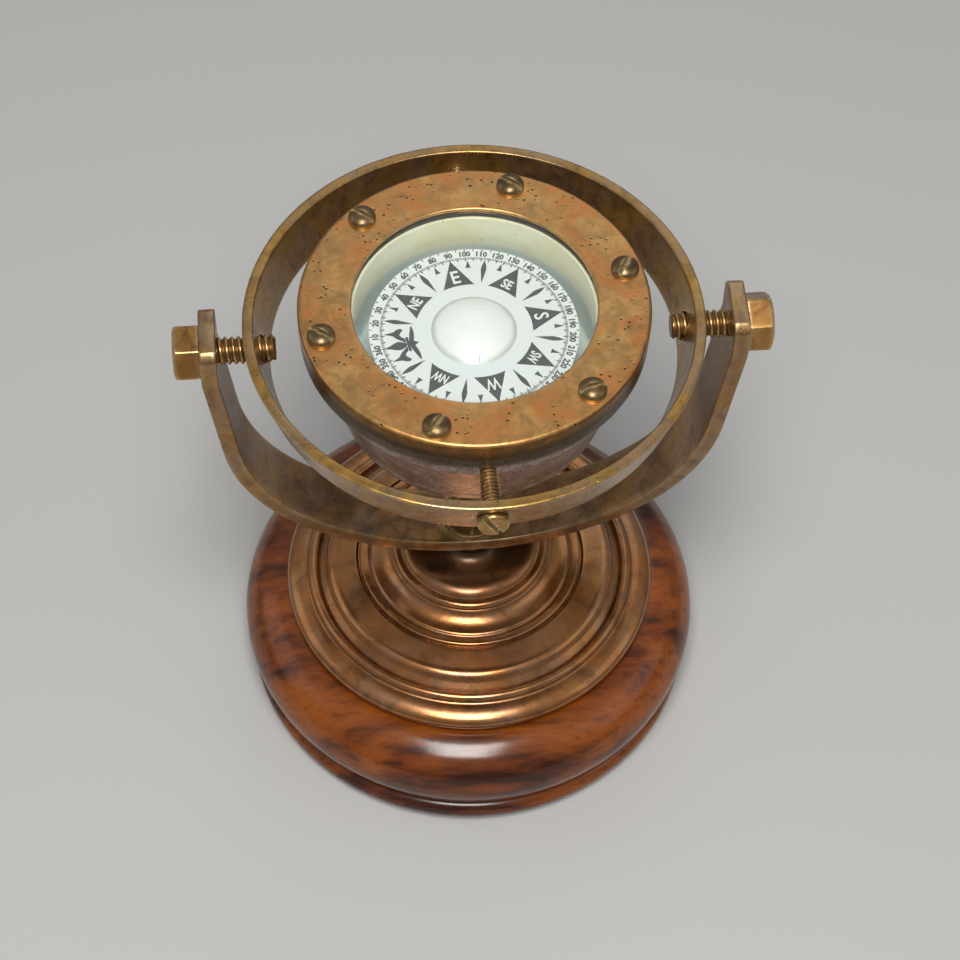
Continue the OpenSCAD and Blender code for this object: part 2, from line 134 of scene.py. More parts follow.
class Nodes:
    """A tree, built one node at a time."""

    def __init__(self, tree):
        self.tree = tree
        tree.nodes.clear()

    def feed(self, socket, value):
        """Wire a socket up, or set it to a plain value."""
        if isinstance(value, Wire):
            self.tree.links.new(value.socket, socket)
        elif isinstance(value, tuple) and len(value) == 3 and len(socket.default_value) == 4:
            socket.default_value = (*value, 1.0)
        else:
            socket.default_value = value

    def node(self, kind, inputs=(), **settings):
        made = self.tree.nodes.new(kind)
        for name, value in settings.items():
            setattr(made, name, value)
        for name, value in dict(inputs).items():
            self.feed(made.inputs[name], value)
        return made

    def out(self, kind, inputs=(), pick=0, **settings):
        """Add a node and hand back one of its outputs."""
        return Wire(self, self.node(kind, inputs, **settings).outputs[pick])

    def calc(self, how, first, second=0.0, third=0.0):
        return self.out("ShaderNodeMath", {0: first, 1: second, 2: third}, operation=how)

    def between(self, value, low, high, start=0.0, stop=1.0):
        """0 below low, 1 above high and a smooth step between, rescaled to start and stop."""
        ends = {"Value": value, "From Min": low, "From Max": high, "To Min": start, "To Max": stop}
        return self.out("ShaderNodeMapRange", ends, interpolation_type="SMOOTHSTEP")

    def ray(self, kind):
        return self.out("ShaderNodeLightPath", pick=f"Is {kind} Ray")


print("node helpers ready")

# %% [markdown]
# ## Table, lamps and surroundings
# Polished metal shows its surroundings, so they are part of its look. The compass stands on a
# pale table in a pale room that is brighter overhead. One tall soft box hangs over the eye:
# it gives each turned bead its broad glint and the wood its soft one. Three weak lamps at the
# sides and the back open the shadows there.

# %% Light the table
DAYLIGHT = (0.97, 0.98, 1.0)
TABLE_REACH, TABLE_LOW = 3.0, -0.05 * MM
SIDE_LAMPS = {"lamp_left": (-105, 30), "lamp_right": (75, 35), "lamp_behind": (165, 40)}


def room(light, walls, overhead):
    """World that lights evenly, and is seen, also in metal and glass, as walls and a ceiling."""
    world = bpy.data.worlds.new("pale_room")
    world.use_nodes = True
    bpy.context.scene.world = world
    sky = Nodes(world.node_tree)
    seen = sky.ray("Camera")
    for kind in ("Glossy", "Transmission"):
        seen = sky.calc("MAXIMUM", seen, sky.ray(kind))
    way = sky.out("ShaderNodeTexCoord", pick="Generated")
    height = sky.out("ShaderNodeSeparateXYZ", {0: way}, 2)
    level = sky.between(height, 0.1, 0.75, walls, overhead)
    lit = sky.out("ShaderNodeBackground", {"Color": DAYLIGHT, "Strength": light})
    view = sky.out("ShaderNodeBackground", {"Color": DAYLIGHT, "Strength": level})
    sky.node("ShaderNodeOutputWorld", {0: sky.out("ShaderNodeMixShader", {0: seen, 1: lit, 2: view})})


def lamp(name, azimuth, elevation, distance, width, height, power, colour=(1, 1, 1)):
    """Soft box that faces the object."""
    light = bpy.data.lights.new(name, "AREA")
    light.shape = "RECTANGLE"
    light.size, light.size_y = width, height
    light.energy = power
    light.color = colour
    away = look_from(math.radians(azimuth), math.radians(elevation))
    facing = away.to_track_quat("Z", "Y").to_matrix().to_4x4()
    shown(name, light).matrix_world = Matrix.Translation(SIGHT + away * distance) @ facing


def table():
    """Matt pale table top, which isn't part of the object."""
    sheet = bpy.data.meshes.new("table_top")
    corners = [(x * TABLE_REACH, y * TABLE_REACH, TABLE_LOW) for x, y in ((-1, -1), (1, -1), (1, 1), (-1, 1))]
    sheet.from_pydata(corners, [], [(0, 1, 2, 3)])
    top = shown("table_top", sheet)
    paint = bpy.data.materials.new("table_paint")
    paint.use_nodes = True
    skin = paint.node_tree.nodes["Principled BSDF"]
    skin.inputs["Base Color"].default_value = (0.58, 0.58, 0.57, 1)
    skin.inputs["Roughness"].default_value = 0.9
    skin.inputs["Specular IOR Level"].default_value = 0.2
    sheet.materials.append(paint)


room(light=0.15, walls=0.24, overhead=0.42)
lamp("soft_box_over_eye", -7, 66, 0.85, 0.25, 0.42, 6.0, (1.0, 0.985, 0.96))
for lamp_name, direction in SIDE_LAMPS.items():
    lamp(lamp_name, *direction, 0.95, 0.6, 0.6, 0.6)
table()
print("table, room and", 1 + len(SIDE_LAMPS), "lamps")

# %% [markdown]
# ## Patterns for finishes
# Patterns are measured in the object's own coordinates, so they stay on a piece when it
# swings. Their sizes are given in millimetres. Most finishes need the same few: soft clouds,
# scattered cells, a step between two values, and a relief that follows a pattern.

# %% Finish helper


class Finish(Nodes):
    """A procedural material, built one node at a time."""

    def __init__(self, name, **shader):
        self.material = bpy.data.materials.new(name)
        self.material.use_nodes = True
        super().__init__(self.material.node_tree)
        self.skin = self.node("ShaderNodeBsdfPrincipled")
        self.end = self.node("ShaderNodeOutputMaterial", {"Surface": Wire(self, self.skin.outputs[0])})
        self.place = self.out("ShaderNodeTexCoord", pick="Object")
        self.set(**shader)

    def set(self, **shader):
        """Feed sockets of the shader, and hand back the material."""
        for name, value in shader.items():
            self.feed(self.skin.inputs[name.replace("_", " ")], value)
        return self.material

    def stretched(self, along=(1, 1, 1), turn=(0, 0, 0), shift=(0, 0, 0)):
        """The object's coordinates, squeezed so that a pattern runs long in some direction."""
        way = {"Vector": self.place, "Scale": along, "Rotation": turn, "Location": shift}
        return self.out("ShaderNodeMapping", way)

    def clouds(self, size, detail=4.0, rough=0.55, at=None, wander=0.0):
        """Soft noise whose patches are about size mm across."""
        shape = {"Scale": 1 / (size * MM), "Detail": detail, "Roughness": rough, "Distortion": wander}
        return self.out("ShaderNodeTexNoise", {"Vector": at or self.place, **shape}, "Fac")

    def cells(self, size, at=None):
        """Distance to scattered points about size mm apart, from 0 at a point."""
        shape = {"Scale": 1 / (size * MM), "Randomness": 1.0}
        return self.out("ShaderNodeTexVoronoi", {"Vector": at or self.place, **shape}, "Distance")

    def mix(self, share, first, second):
        return self.out("ShaderNodeMix", {0: share, 6: first, 7: second}, 2, data_type="RGBA")

    def marked(self, name):
        """A value painted on the mesh, such as worn or grime."""
        return self.out("ShaderNodeAttribute", pick="Fac", attribute_name=name)

    def along(self, axis):
        """Coordinate along one axis."""
        return self.out("ShaderNodeSeparateXYZ", {0: self.place}, axis)

    def radius(self):
        """Distance from the vertical axis on which the piece was turned."""
        x, y = self.along(0), self.along(1)
        return self.calc("SQRT", x * x + y * y)

    def height(self, low, high):
        """0 below one height over the table and 1 above the other, in mm."""
        return self.between(self.along(2), low * MM, high * MM)

    def relief(self, height, depth, strength=1.0, over=None):
        """Bump of that depth in mm, on top of another one if given."""
        inputs = {"Height": height, "Distance": depth * MM, "Strength": strength}
        return self.out("ShaderNodeBump", {**inputs, "Normal": over} if over else inputs)


print("finish helper ready")

# %% [markdown]
# ## Aged brass
# Old cast brass that was once lacquered and has been handled for decades is not one colour.
# It is tan gold where the skin is thin, orange in small cloud-like patches where zinc has
# leached out, brown in the corners where polish and dust stay, and bright on the edges that
# hands touch. Where nobody polishes, a thin film of oxide turns it taupe. It has casting pits
# and fine turning marks. The recipe layers these in the order in which they happen on the
# real metal. Two values painted on each mesh say where an edge is worn and where a corner
# holds grime. The skin is partly oxide, so it is a little less than a full metal.
# Bands given by height are darkened too; on the bezel, the bowl and the pedestal they are painted shade.

# %% Recipe for aged brass
STAIN_BROWN = (0.085, 0.036, 0.012)
PIT_DARK = (0.035, 0.016, 0.007)
CRACK_DARK = (0.030, 0.014, 0.008)
GRIME_AND_SHADE_DARK = (0.034, 0.017, 0.008)
BARE_BRASS = (0.86, 0.66, 0.34)
TOOL_MARKS = 0.5 * MM


def aged_brass(
    name, gold, orange, orange_share, brown_share, film=(0.30, 0.22, 0.165), film_share=0.0, gloss=0.34,
    turned=0.5, pits=1.0, seed=0.0, dark_under=None, dark_over=None, rubbing=1.0, metal_share=0.88, lacquer=0.25,
    unevenness=1.0, crackle=0.0,
):
    """Brass with orange patches, brown stains, oxide film, pits, worn edges, grimy corners, and bands darkened by
    height that are mostly painted shade.
    """
    metal = Finish(name, Metallic=metal_share, Coat_Weight=lacquer, Coat_Roughness=0.20)
    between, clouds, mix = metal.between, metal.clouds, metal.mix
    spot = metal.stretched(shift=(seed, seed * 0.7, seed * 0.4))
    other = metal.stretched(shift=(1 + seed, 2, 3))
    broad = clouds(12, 5, 0.62, spot, 0.8)
    small = clouds(3.4, 6, 0.66, spot, 0.5)
    fine = clouds(1.1, 5, 0.68, other, 0.4)
    tooth = clouds(0.42, 3, 0.6, spot)
    contrast = 0.12 + 0.12 * unevenness
    dull = tuple(c * (1 - contrast) for c in gold)
    bright = tuple(min(1, c * (1 + contrast * 0.8)) for c in gold)
    colour = mix(between(small, 0.36, 0.64), dull, bright)
    patch = between(broad, 0.38, 0.60) * between(small, 0.40, 0.60, 0.25, 1.0)
    colour = mix(patch * orange_share, colour, orange)
    skin = between(clouds(14, 5, 0.58, other, 0.9), 0.62 - film_share * 0.42, 0.74 - film_share * 0.28)
    skin = skin * between(fine, 0.28, 0.62, 1.0, 0.70)
    colour = mix(skin * min(1.0, film_share * 1.3), colour, film)
    stain = between(clouds(7, 5, 0.62, other, 1.0), 0.44, 0.74) * between(fine, 0.34, 0.60, 0.5, 1.0)
    colour = mix(stain * brown_share, colour, STAIN_BROWN)
    colour = mix(between(tooth, 0.60, 0.76, 0.0, 0.25), colour, STAIN_BROWN)
    colour = mix(between(tooth, 0.26, 0.40, 0.20, 0.0), colour, bright)
    hole = between(metal.cells(1.4, spot), 0.15, 0.25, 1.0, 0.0)
    hole = hole * between(clouds(6, 3, 0.5, spot), 0.50, 0.58, 0.0, pits)
    colour = mix(hole * 0.85, colour, PIT_DARK)
    if crackle:
        vein = clouds(4, 6, 0.72, spot, 1.4)
        line = between(vein, 0.470, 0.495) - between(vein, 0.505, 0.530)
        colour = mix(line * crackle, colour, CRACK_DARK)
    grime_and_shade = metal.marked("grime") * between(fine, 0.25, 0.60, 0.75, 1.0)
    # painted shade: bands below or above a given height are darkened, added to the grime of the corners
    for zone, under in ((dark_under, True), (dark_over, False)):
        if zone:
            low, high, most, least = zone
            shade = metal.height(low, high)
            shade = 1.0 - shade if under else shade
            grime_and_shade = metal.calc("MAXIMUM", grime_and_shade, shade * between(broad, 0.36, 0.62, most, least))
    colour = mix(grime_and_shade, colour, GRIME_AND_SHADE_DARK)
    rubbed = metal.marked("worn") * between(fine, 0.32, 0.56, 0.35 * rubbing, rubbing)
    colour = mix(rubbed, colour, BARE_BRASS)
    rough = between(small, 0.3, 0.7, gloss, gloss + 0.12 * unevenness) + grime_and_shade * 0.20 - rubbed * 0.12
    bump = metal.relief(small, 0.12, 0.35 * unevenness)
    bump = metal.relief(fine, 0.05, 0.35 * unevenness, bump)
    bump = metal.relief(hole, -0.12, 0.9, bump)
    if turned:
        groove = metal.calc("SINE", metal.radius() * (2 * math.pi / TOOL_MARKS)) + clouds(1.2, 2, 0.5, spot)
        bump = metal.relief(groove, 0.005, turned, bump)
    return metal.set(Base_Color=colour, Roughness=rough, Normal=bump)


finishes = {
    "bezel": aged_brass(
        "bezel_brass", (0.53, 0.300, 0.095), (0.56, 0.190, 0.040), 0.80, 0.38, gloss=0.31, turned=0.4,
        # painted shade: the bezel's side wall under its rounded edge is darkened
        dark_under=(126.6, 130.0, 0.95, 0.80), lacquer=0.4,
    ),
    "ring": aged_brass(
        "ring_brass", (0.40, 0.235, 0.055), (0.32, 0.14, 0.03), 0.45, 0.60, (0.30, 0.205, 0.150), 0.48,
        gloss=0.25, turned=0.3, pits=0.4, seed=0.11, rubbing=0.8,
    ),
    "yoke": aged_brass(
        "yoke_brass", (0.32, 0.170, 0.048), (0.26, 0.095, 0.026), 0.55, 0.85, (0.28, 0.190, 0.135), 0.55,
        # the strap is darker towards its bottom
        gloss=0.27, turned=0.0, pits=0.5, seed=0.23, dark_under=(54.0, 84.0, 0.75, 0.10), metal_share=0.85,
    ),
    "base": aged_brass(
        "base_brass", (0.40, 0.175, 0.048), (0.34, 0.100, 0.024), 0.70, 0.70, (0.36, 0.215, 0.130), 0.42,
        # painted shade: the boss and the neck under the yoke are darkened
        gloss=0.22, turned=0.2, pits=0.08, seed=0.37, dark_over=(41.6, 44.8, 1.0, 0.85), rubbing=0.35,
        lacquer=0.50, unevenness=0.25,
    ),
    "bowl": aged_brass(
        "bowl_brass", (0.28, 0.165, 0.08), (0.26, 0.105, 0.042), 0.40, 0.80, (0.38, 0.280, 0.240), 0.70,
        # painted shade: the bowl's rim under the bezel is darkened
        gloss=0.30, turned=0.4, seed=0.51, dark_over=(122.8, 125.0, 0.95, 0.7), metal_share=0.75, crackle=0.85,
    ),
    "bolt": aged_brass(
        "bolt_brass", (0.38, 0.195, 0.052), (0.34, 0.125, 0.028), 0.60, 0.95,
        gloss=0.26, turned=0.0, pits=0.4, seed=0.67,
    ),
    "screw": aged_brass(
        "screw_brass", (0.140, 0.088, 0.036), (0.16, 0.075, 0.026), 0.30, 0.50, (0.30, 0.205, 0.140), 0.15,
        gloss=0.30, turned=0.0, pits=0.2, seed=0.83, lacquer=0.2,
    ),
}
print("brass finishes:", ", ".join(finishes))

# %% [markdown]
# ## Lacquered wood
# The base is one turned block of red-brown hardwood under a thick gloss lacquer. The grain
# runs sideways through the block, so the lathe shows it as long streaks at the front and as
# rings of end grain at the sides. A stretched noise gives the fibres, a wider one the dark
# bands, and a clear coat on top gives the sharp glint over the softer colour.

# %% Recipe for the wood


def lacquered_wood():
    """Streaked hardwood with pores, dark corners, rubbed edges and a clear coat."""
    wood = Finish("lacquered_wood", Coat_Weight=0.9, Coat_Roughness=0.18, Coat_IOR=1.5, Specular_IOR_Level=0.0)
    between, clouds, mix = wood.between, wood.clouds, wood.mix
    run = (0, 0, math.radians(8))
    grain = clouds(6, 5, 0.62, wood.stretched((0.13, 1, 1.2), run), 0.35)
    fibre = clouds(1.2, 5, 0.7, wood.stretched((0.06, 1, 1), run), 0.4)
    cloud = clouds(24, 4, 0.55, wood.stretched((0.4, 1, 1), run, (0.02, 0.01, 0)), 0.8)
    colour = mix(between(grain, 0.36, 0.64), (0.055, 0.0105, 0.0020), (0.200, 0.043, 0.0045))
    colour = mix(between(cloud, 0.44, 0.66, 0.0, 0.75), colour, (0.34, 0.088, 0.008))
    colour = mix(between(grain, 0.32, 0.46, 0.5, 0.0), colour, (0.020, 0.0045, 0.0015))
    colour = mix(between(fibre, 0.50, 0.70, 0.0, 0.50), colour, (0.030, 0.0065, 0.002))
    colour = mix(wood.marked("grime") * 0.95, colour, (0.010, 0.0035, 0.002))
    colour = mix(wood.marked("worn") * 0.5, colour, (0.40, 0.20, 0.10))
    bump = wood.relief(clouds(12, 3), 0.35, 0.4, wood.relief(fibre, 0.03, 0.35))
    wave = wood.relief(clouds(6, 3), 0.12, 0.3)
    return wood.set(Base_Color=colour, Roughness=between(fibre, 0.3, 0.7, 0.30, 0.44), Normal=bump, Coat_Normal=wave)


finishes["wood"] = lacquered_wood()
print("wood finish ready")

# %% [markdown]
# ## Felt, enamel, paper, glass and the small inner parts
# The pad is green wool felt. The inside of the bowl is painted cream, slightly yellowed. The
# card is white card stock, and the float on it is a milky plastic that lets some light
# in. The glass is a real pane that bends what is seen through it. Lamps have to reach the
# card, so the pane is transparent to the rays that test for shadow or gather soft light. The
# rest are two shades of one grain, so they share a recipe.

# %% Recipes for the other finishes


def cream_enamel():
    """Cream paint near the glass, and pale blue grey below, which is painted shade deep in the bowl."""
    paint = Finish("cream_enamel", Coat_Weight=0.3, Coat_Roughness=0.2)
    stain = paint.clouds(10, 5, 0.6)
    yellowed = paint.between(stain, 0.42, 0.68)
    cream = paint.mix(yellowed, (0.92, 0.89, 0.66), (0.87, 0.80, 0.52))
    blue = paint.mix(yellowed, (0.56, 0.64, 0.62), (0.64, 0.70, 0.62))
    # painted shade: below this height the cup is coloured blue grey
    colour = paint.mix(paint.height(117.8, 120.2), blue, cream)
    speck = paint.between(paint.cells(4), 0.035, 0.06, 0.7, 0.0)
    brush = paint.clouds(0.7, 3, 0.5, paint.stretched((0.15, 0.15, 1.0)))
    return paint.set(
        Base_Color=paint.mix(speck, colour, (0.16, 0.12, 0.07)),
        Roughness=paint.between(stain, 0.3, 0.7, 0.38, 0.55),
        Normal=paint.relief(brush, 0.03, 0.4),
    )


def card_stock():
    """White printed card with a faint paper tooth and the first yellow of age."""
    paper = Finish("card_stock", Specular_IOR_Level=0.3)
    tooth = paper.clouds(0.25, 4, 0.6)
    age = paper.between(paper.clouds(14, 4, 0.6), 0.45, 0.70, 0.0, 0.6)
    colour = paper.mix(age, (0.80, 0.81, 0.83), (0.80, 0.80, 0.77))
    return paper.set(
        Base_Color=paper.mix(paper.between(tooth, 0.60, 0.75, 0.0, 0.15), colour, (0.68, 0.69, 0.64)),
        Roughness=paper.between(tooth, 0.3, 0.7, 0.55, 0.7),
        Normal=paper.relief(tooth, 0.015, 0.4),
    )


def milky_plastic():
    """Float: translucent white plastic with soft clouds in it, greyed towards the dome's edge as painted shade."""
    milk = Finish("milky_plastic", Subsurface_Weight=0.35, Subsurface_Scale=2 * MM)
    haze = milk.clouds(5, 3)
    # painted shade: the dome turns grey towards its edge
    rim = milk.between(milk.radius() + haze * (1.2 * MM), 8.4 * MM, 9.6 * MM)
    body = milk.mix(milk.between(haze, 0.35, 0.65), (0.97, 0.96, 0.96), (0.93, 0.93, 0.91))
    return milk.set(
        Subsurface_Radius=(1.0, 1.0, 0.9),
        Coat_Weight=0.5,
        Coat_Roughness=0.45,
        Base_Color=milk.mix(rim, body, (0.62, 0.64, 0.60)),
        Roughness=milk.between(haze, 0.3, 0.7, 0.26, 0.36),
        Normal=milk.relief(milk.clouds(1.5, 2), 0.02, 0.2),
    )


def window_glass():
    """Pane with a faint green body and a trace of dust, clear to the rays that carry daylight in."""
    pane = Finish("window_glass", Base_Color=(0.97, 0.99, 0.98), Transmission_Weight=1.0, IOR=1.5)
    pane.set(Roughness=pane.between(pane.clouds(3, 5, 0.7), 0.45, 0.75, 0.0, 0.035))
    passes = pane.calc("MAXIMUM", pane.ray("Shadow"), pane.ray("Diffuse"))
    clear = pane.out("ShaderNodeBsdfTransparent", {"Color": (0.95, 0.98, 0.96)})
    body = Wire(pane, pane.skin.outputs[0])
    pane.feed(pane.end.inputs["Surface"], pane.out("ShaderNodeMixShader", {0: passes, 1: body, 2: clear}))
    return pane.material


def mottled(name, grain, span, first, second, gloss=None, relief=None, patches=None, **shader):
    """Two shades of one grain, which also sets gloss and relief, perhaps with wider patches."""
    made = Finish(name, **shader)
    size, detail, rough, wander = grain
    tooth = made.clouds(size, detail, rough, wander=wander)
    colour = made.mix(made.between(tooth, *span), first, second)
    if patches:
        size, detail, rough, low, high, tint = patches
        wide = made.between(made.clouds(size, detail, rough), low, high, 0.0, 0.4)
        colour = made.mix(wide, colour, tint)
    if gloss:
        made.set(Roughness=made.between(tooth, 0.3, 0.7, *gloss))
    if relief:
        made.set(Normal=made.relief(tooth, *relief))
    return made.set(Base_Color=colour)


def printing_ink(name, dark, thin):
    """Ink that lies unevenly on the card, thinner in small patches."""
    return mottled(
        name, (0.5, 4, 0.6, 0.0), (0.40, 0.72), dark, thin, (0.42, 0.6), (0.008, 0.4), Specular_IOR_Level=0.35
    )


def inner_metal(name, low, high, rough, grain, shine=1.0):
    """Steel, lead and magnet steel differ in grain, gloss and colour."""
    return mottled(
        name, (grain, 5, 0.65, 0.0), (0.35, 0.65), low, high, (rough, rough + 0.15), (0.04, 0.4),
        (grain * 9, 4, 0.6, 0.5, 0.72, low), Metallic=shine,
    )


finishes.update(
    cream=cream_enamel(),
    card=card_stock(),
    milk=milky_plastic(),
    glass=window_glass(),
    dark_ink=printing_ink("dark_ink", (0.016, 0.024, 0.021), (0.045, 0.058, 0.052)),
    white_ink=printing_ink("white_ink", (0.84, 0.87, 0.84), (0.74, 0.78, 0.74)),
    steel=inner_metal("turned_steel", (0.40, 0.39, 0.37), (0.60, 0.59, 0.56), 0.24, 0.4),
    lead=inner_metal("cast_lead", (0.12, 0.12, 0.125), (0.24, 0.24, 0.25), 0.55, 0.8, 0.7),
    magnet=inner_metal("magnet_steel", (0.07, 0.07, 0.08), (0.15, 0.15, 0.17), 0.35, 0.5),
    felt=mottled(
        "green_felt", (0.5, 6, 0.75, 2.5), (0.35, 0.65), (0.018, 0.055, 0.028), (0.055, 0.125, 0.065),
        relief=(0.20, 0.9), patches=(4, 3, 0.55, 0.5, 0.7, (0.030, 0.060, 0.035)),
        Roughness=0.95, Sheen_Weight=0.6, Sheen_Roughness=0.5, Specular_IOR_Level=0.15,
    ),
    rubber=mottled(
        "seal_rubber", (0.6, 5, 0.7, 1.0), (0.4, 0.7), (0.012, 0.012, 0.013), (0.040, 0.038, 0.036),
        (0.6, 0.8), (0.04, 0.5), Specular_IOR_Level=0.35,
    ),
    jewel=mottled(
        "jewel_stone", (1.0, 4, 0.55, 0.0), (0.35, 0.65), (0.20, 0.008, 0.020), (0.34, 0.020, 0.045),
        (0.08, 0.16), IOR=1.76, Coat_Weight=0.5,
    ),
)
print(len(finishes), "finishes")

# %% [markdown]
# ## Where edges wear and corners collect grime
# A finish has to know which parts of a mesh stand out and which lie deep. The bend of the
# surface says it: at each vertex, the neighbours lie below the tangent plane on an edge and
# above it in a corner. The bend is smeared over the neighbours, so that wear fades out as it
# does under a hand, and is stored on the mesh for the recipes above.

# %% Paint wear and grime on a mesh
WORN_FROM, GRIMY_FROM = 250, 120
BROUGHT_BACK = 1.6
CAST_WEAR, BOLT_WEAR, SCREW_WEAR = (0.7, 5, 1800.0), (0.5, 4, 2600.0), (0.4, 4, 3200.0)


def read(items, key, width, kind=float):
    """Values of a mesh as an array with one row for each item."""
    values = np.empty(len(items) * width, kind)
    items.foreach_get(key, values)
    return values.reshape(-1, width)


def weather(piece, reach, passes, sharpest):
    """Store how worn and how grimy each vertex is, smeared over a few tenths of a mm."""
    mesh = piece.data
    count = len(mesh.vertices)
    place = read(mesh.vertices, "co", 3)
    facing = read(mesh.vertex_normals, "vector", 3)
    one, two = read(mesh.edges, "vertices", 2, int).T
    step = place[two] - place[one]
    length = np.maximum(np.linalg.norm(step, axis=1), 1e-7)
    pull = np.exp(-((length / (reach * MM)) ** 2)) + 1e-6
    weight = 1 + np.bincount(one, pull, count) + np.bincount(two, pull, count)
    bend, total = np.zeros(count), np.zeros(count)
    for here, sign in ((one, 1.0), (two, -1.0)):
        fall = -sign * (facing[here] * step).sum(1) * 2 / np.maximum(length, 0.05 * MM) ** 2
        bend += np.bincount(here, fall * length, count)
        total += np.bincount(here, length, count)
    bend /= np.maximum(total, 1e-12)
    marks = {"worn": (bend - WORN_FROM) / sharpest, "grime": (-bend - GRIMY_FROM) / (sharpest * 0.5)}
    for name, value in marks.items():
        value = np.clip(value, 0, 1)
        for _ in range(passes):
            spread = np.bincount(one, pull * value[two], count) + np.bincount(two, pull * value[one], count)
            value = (value + spread) / weight
        value = np.clip(value * BROUGHT_BACK, 0, 1).astype(np.float32)
        mesh.attributes.new(name, "FLOAT", "POINT").data.foreach_set("value", value)
    return piece


print("worn from a bend of", WORN_FROM, "and grimy from one of", -GRIMY_FROM, "per metre")

# %% [markdown]
# ## Turning on the lathe
# Most of the pieces were turned: base, flange, pedestal, ring, bowl, bezel, pane. Each is an
# outline of radius and height that is swept once round the axis. The outline is first cut
# into short steps, so that wear can fade over a fraction of a millimetre, and each point on
# the axis becomes one closed pole instead of a ring of doubles.

# %% Lathe and outline helpers
AXIS_Z = 120.8
BOLT_Z = AXIS_Z - 1.2
SAME_PLACE = 2e-7
NEARLY_STRAIGHT = math.radians(160)


def spoke(radius, angle):
    """Point at that radius and angle, in radians."""
    return radius * math.cos(angle), radius * math.sin(angle)


def full_turn(segments):
    """Angles of that many equal steps round the axis."""
    return [2 * math.pi * k / segments for k in range(segments)]


def arc(cx, cy, rx, ry, start, stop, steps):
    """Points on an ellipse arc, in mm, with angles in degrees."""
    angles = np.radians(np.linspace(start, stop, steps + 1))
    return [(cx + rx * math.cos(a), cy + ry * math.sin(a)) for a in angles]


def split(a, b, parts):
    """Points in equal steps from a towards b, without b."""
    return [(a[0] + (b[0] - a[0]) * k / parts, a[1] + (b[1] - a[1]) * k / parts) for k in range(parts)]


def eased(points, radius, steps=3, closed=True):
    """Round every corner of an outline with a small arc of about that radius."""
    done = []
    count = len(points)
    for i, here in enumerate(points):
        p, a, b = np.array(here), np.array(points[i - 1]), np.array(points[(i + 1) % count])
        to_a, to_b = a - p, b - p
        la, lb = np.linalg.norm(to_a), np.linalg.norm(to_b)
        corner = math.acos(max(-1, min(1, float(to_a @ to_b) / (la * lb))))
        if corner > NEARLY_STRAIGHT or (not closed and i in (0, count - 1)):
            done.append(here)
            continue
        cut = min(radius / math.tan(corner / 2), la * 0.45, lb * 0.45)
        start, stop = p + to_a / la * cut, p + to_b / lb * cut
        for t in np.linspace(0, 1, steps + 1):
            done.append(tuple((1 - t) ** 2 * start + 2 * t * (1 - t) * p + t * t * stop))
    return done


def in_steps(points, longest, closed):
    """Add points on long straight runs, so that no step is longer than that."""
    done = []
    for i, here in enumerate(points if closed else points[:-1]):
        there = points[(i + 1) % len(points)]
        done += split(here, there, max(1, math.ceil(math.dist(here, there) / longest)))
    return done if closed else done + [points[-1]]


@contextmanager
def edited(mesh):
    """Open a mesh for changes, and write them back at the end."""
    work = bmesh.new()
    work.from_mesh(mesh)
    yield work
    work.to_mesh(mesh)
    work.free()


def finished(name, vertices, faces, finish):
    """Mesh object from sizes in mm, its faces turned outwards, with one finish."""
    mesh = bpy.data.meshes.new(name)
    mesh.from_pydata([tuple(c * MM for c in v) for v in vertices], [], faces)
    with edited(mesh) as work:
        bmesh.ops.remove_doubles(work, verts=work.verts, dist=SAME_PLACE)
        bmesh.ops.recalc_face_normals(work, faces=work.faces)
    mesh.materials.append(finishes[finish])
    mesh.shade_smooth()
    return shown(name, mesh)


def turned(name, outline, finish, lift=0.0, step=0.8, segments=192, closed=False):
    """Sweep an outline of (radius, height) in mm round the vertical axis."""
    vertices, rings, faces = [], [], []
    for r, z in in_steps(outline, step, closed):
        if r < 1e-6:
            rings.append([len(vertices)] * segments)
            vertices.append((0, 0, z + lift))
            continue
        rings.append(list(range(len(vertices), len(vertices) + segments)))
        vertices += [(*spoke(r, a), z + lift) for a in full_turn(segments)]
    for low, high in zip(rings, rings[1:] + rings[:1] if closed else rings[1:]):
        for k in range(segments):
            n = (k + 1) % segments
            corners = [low[k], low[n], high[n], high[k]]
            corners = [c for j, c in enumerate(corners) if c != corners[j - 1]]
            if len(corners) > 2:
                faces.append(corners)
    return finished(name, vertices, faces, finish)


print("lathe ready, pivot axis at", AXIS_Z, "mm")

# %% [markdown]
# ## Boring holes and handing a piece over
# Holes and slots are cut with plain solids that are thrown away afterwards. A piece is handed
# over when its real edges are crisp and its wear is painted: it rides on its body and stands
# for the engineered pieces that it shows.

# %% Cutting and handing over


def settle(piece):
    """Replace the mesh by what its modifiers make of it, and remove the modifiers."""
    scene_now = bpy.context.evaluated_depsgraph_get()
    made = bpy.data.meshes.new_from_object(piece.evaluated_get(scene_now), depsgraph=scene_now)
    piece.modifiers.clear()
    old = piece.data
    piece.data = made
    bpy.data.meshes.remove(old)
    return piece


def bored(piece, *cutters):
    """Cut the cutters out of a piece, and throw them away."""
    for number, cutter in enumerate(cutters):
        tool = piece.modifiers.new(f"cut_{number}", "BOOLEAN")
        tool.operation = "DIFFERENCE"
        tool.solver = "EXACT"
        tool.object = cutter
    settle(piece)
    for cutter in cutters:
        bpy.data.objects.remove(cutter)
    return piece


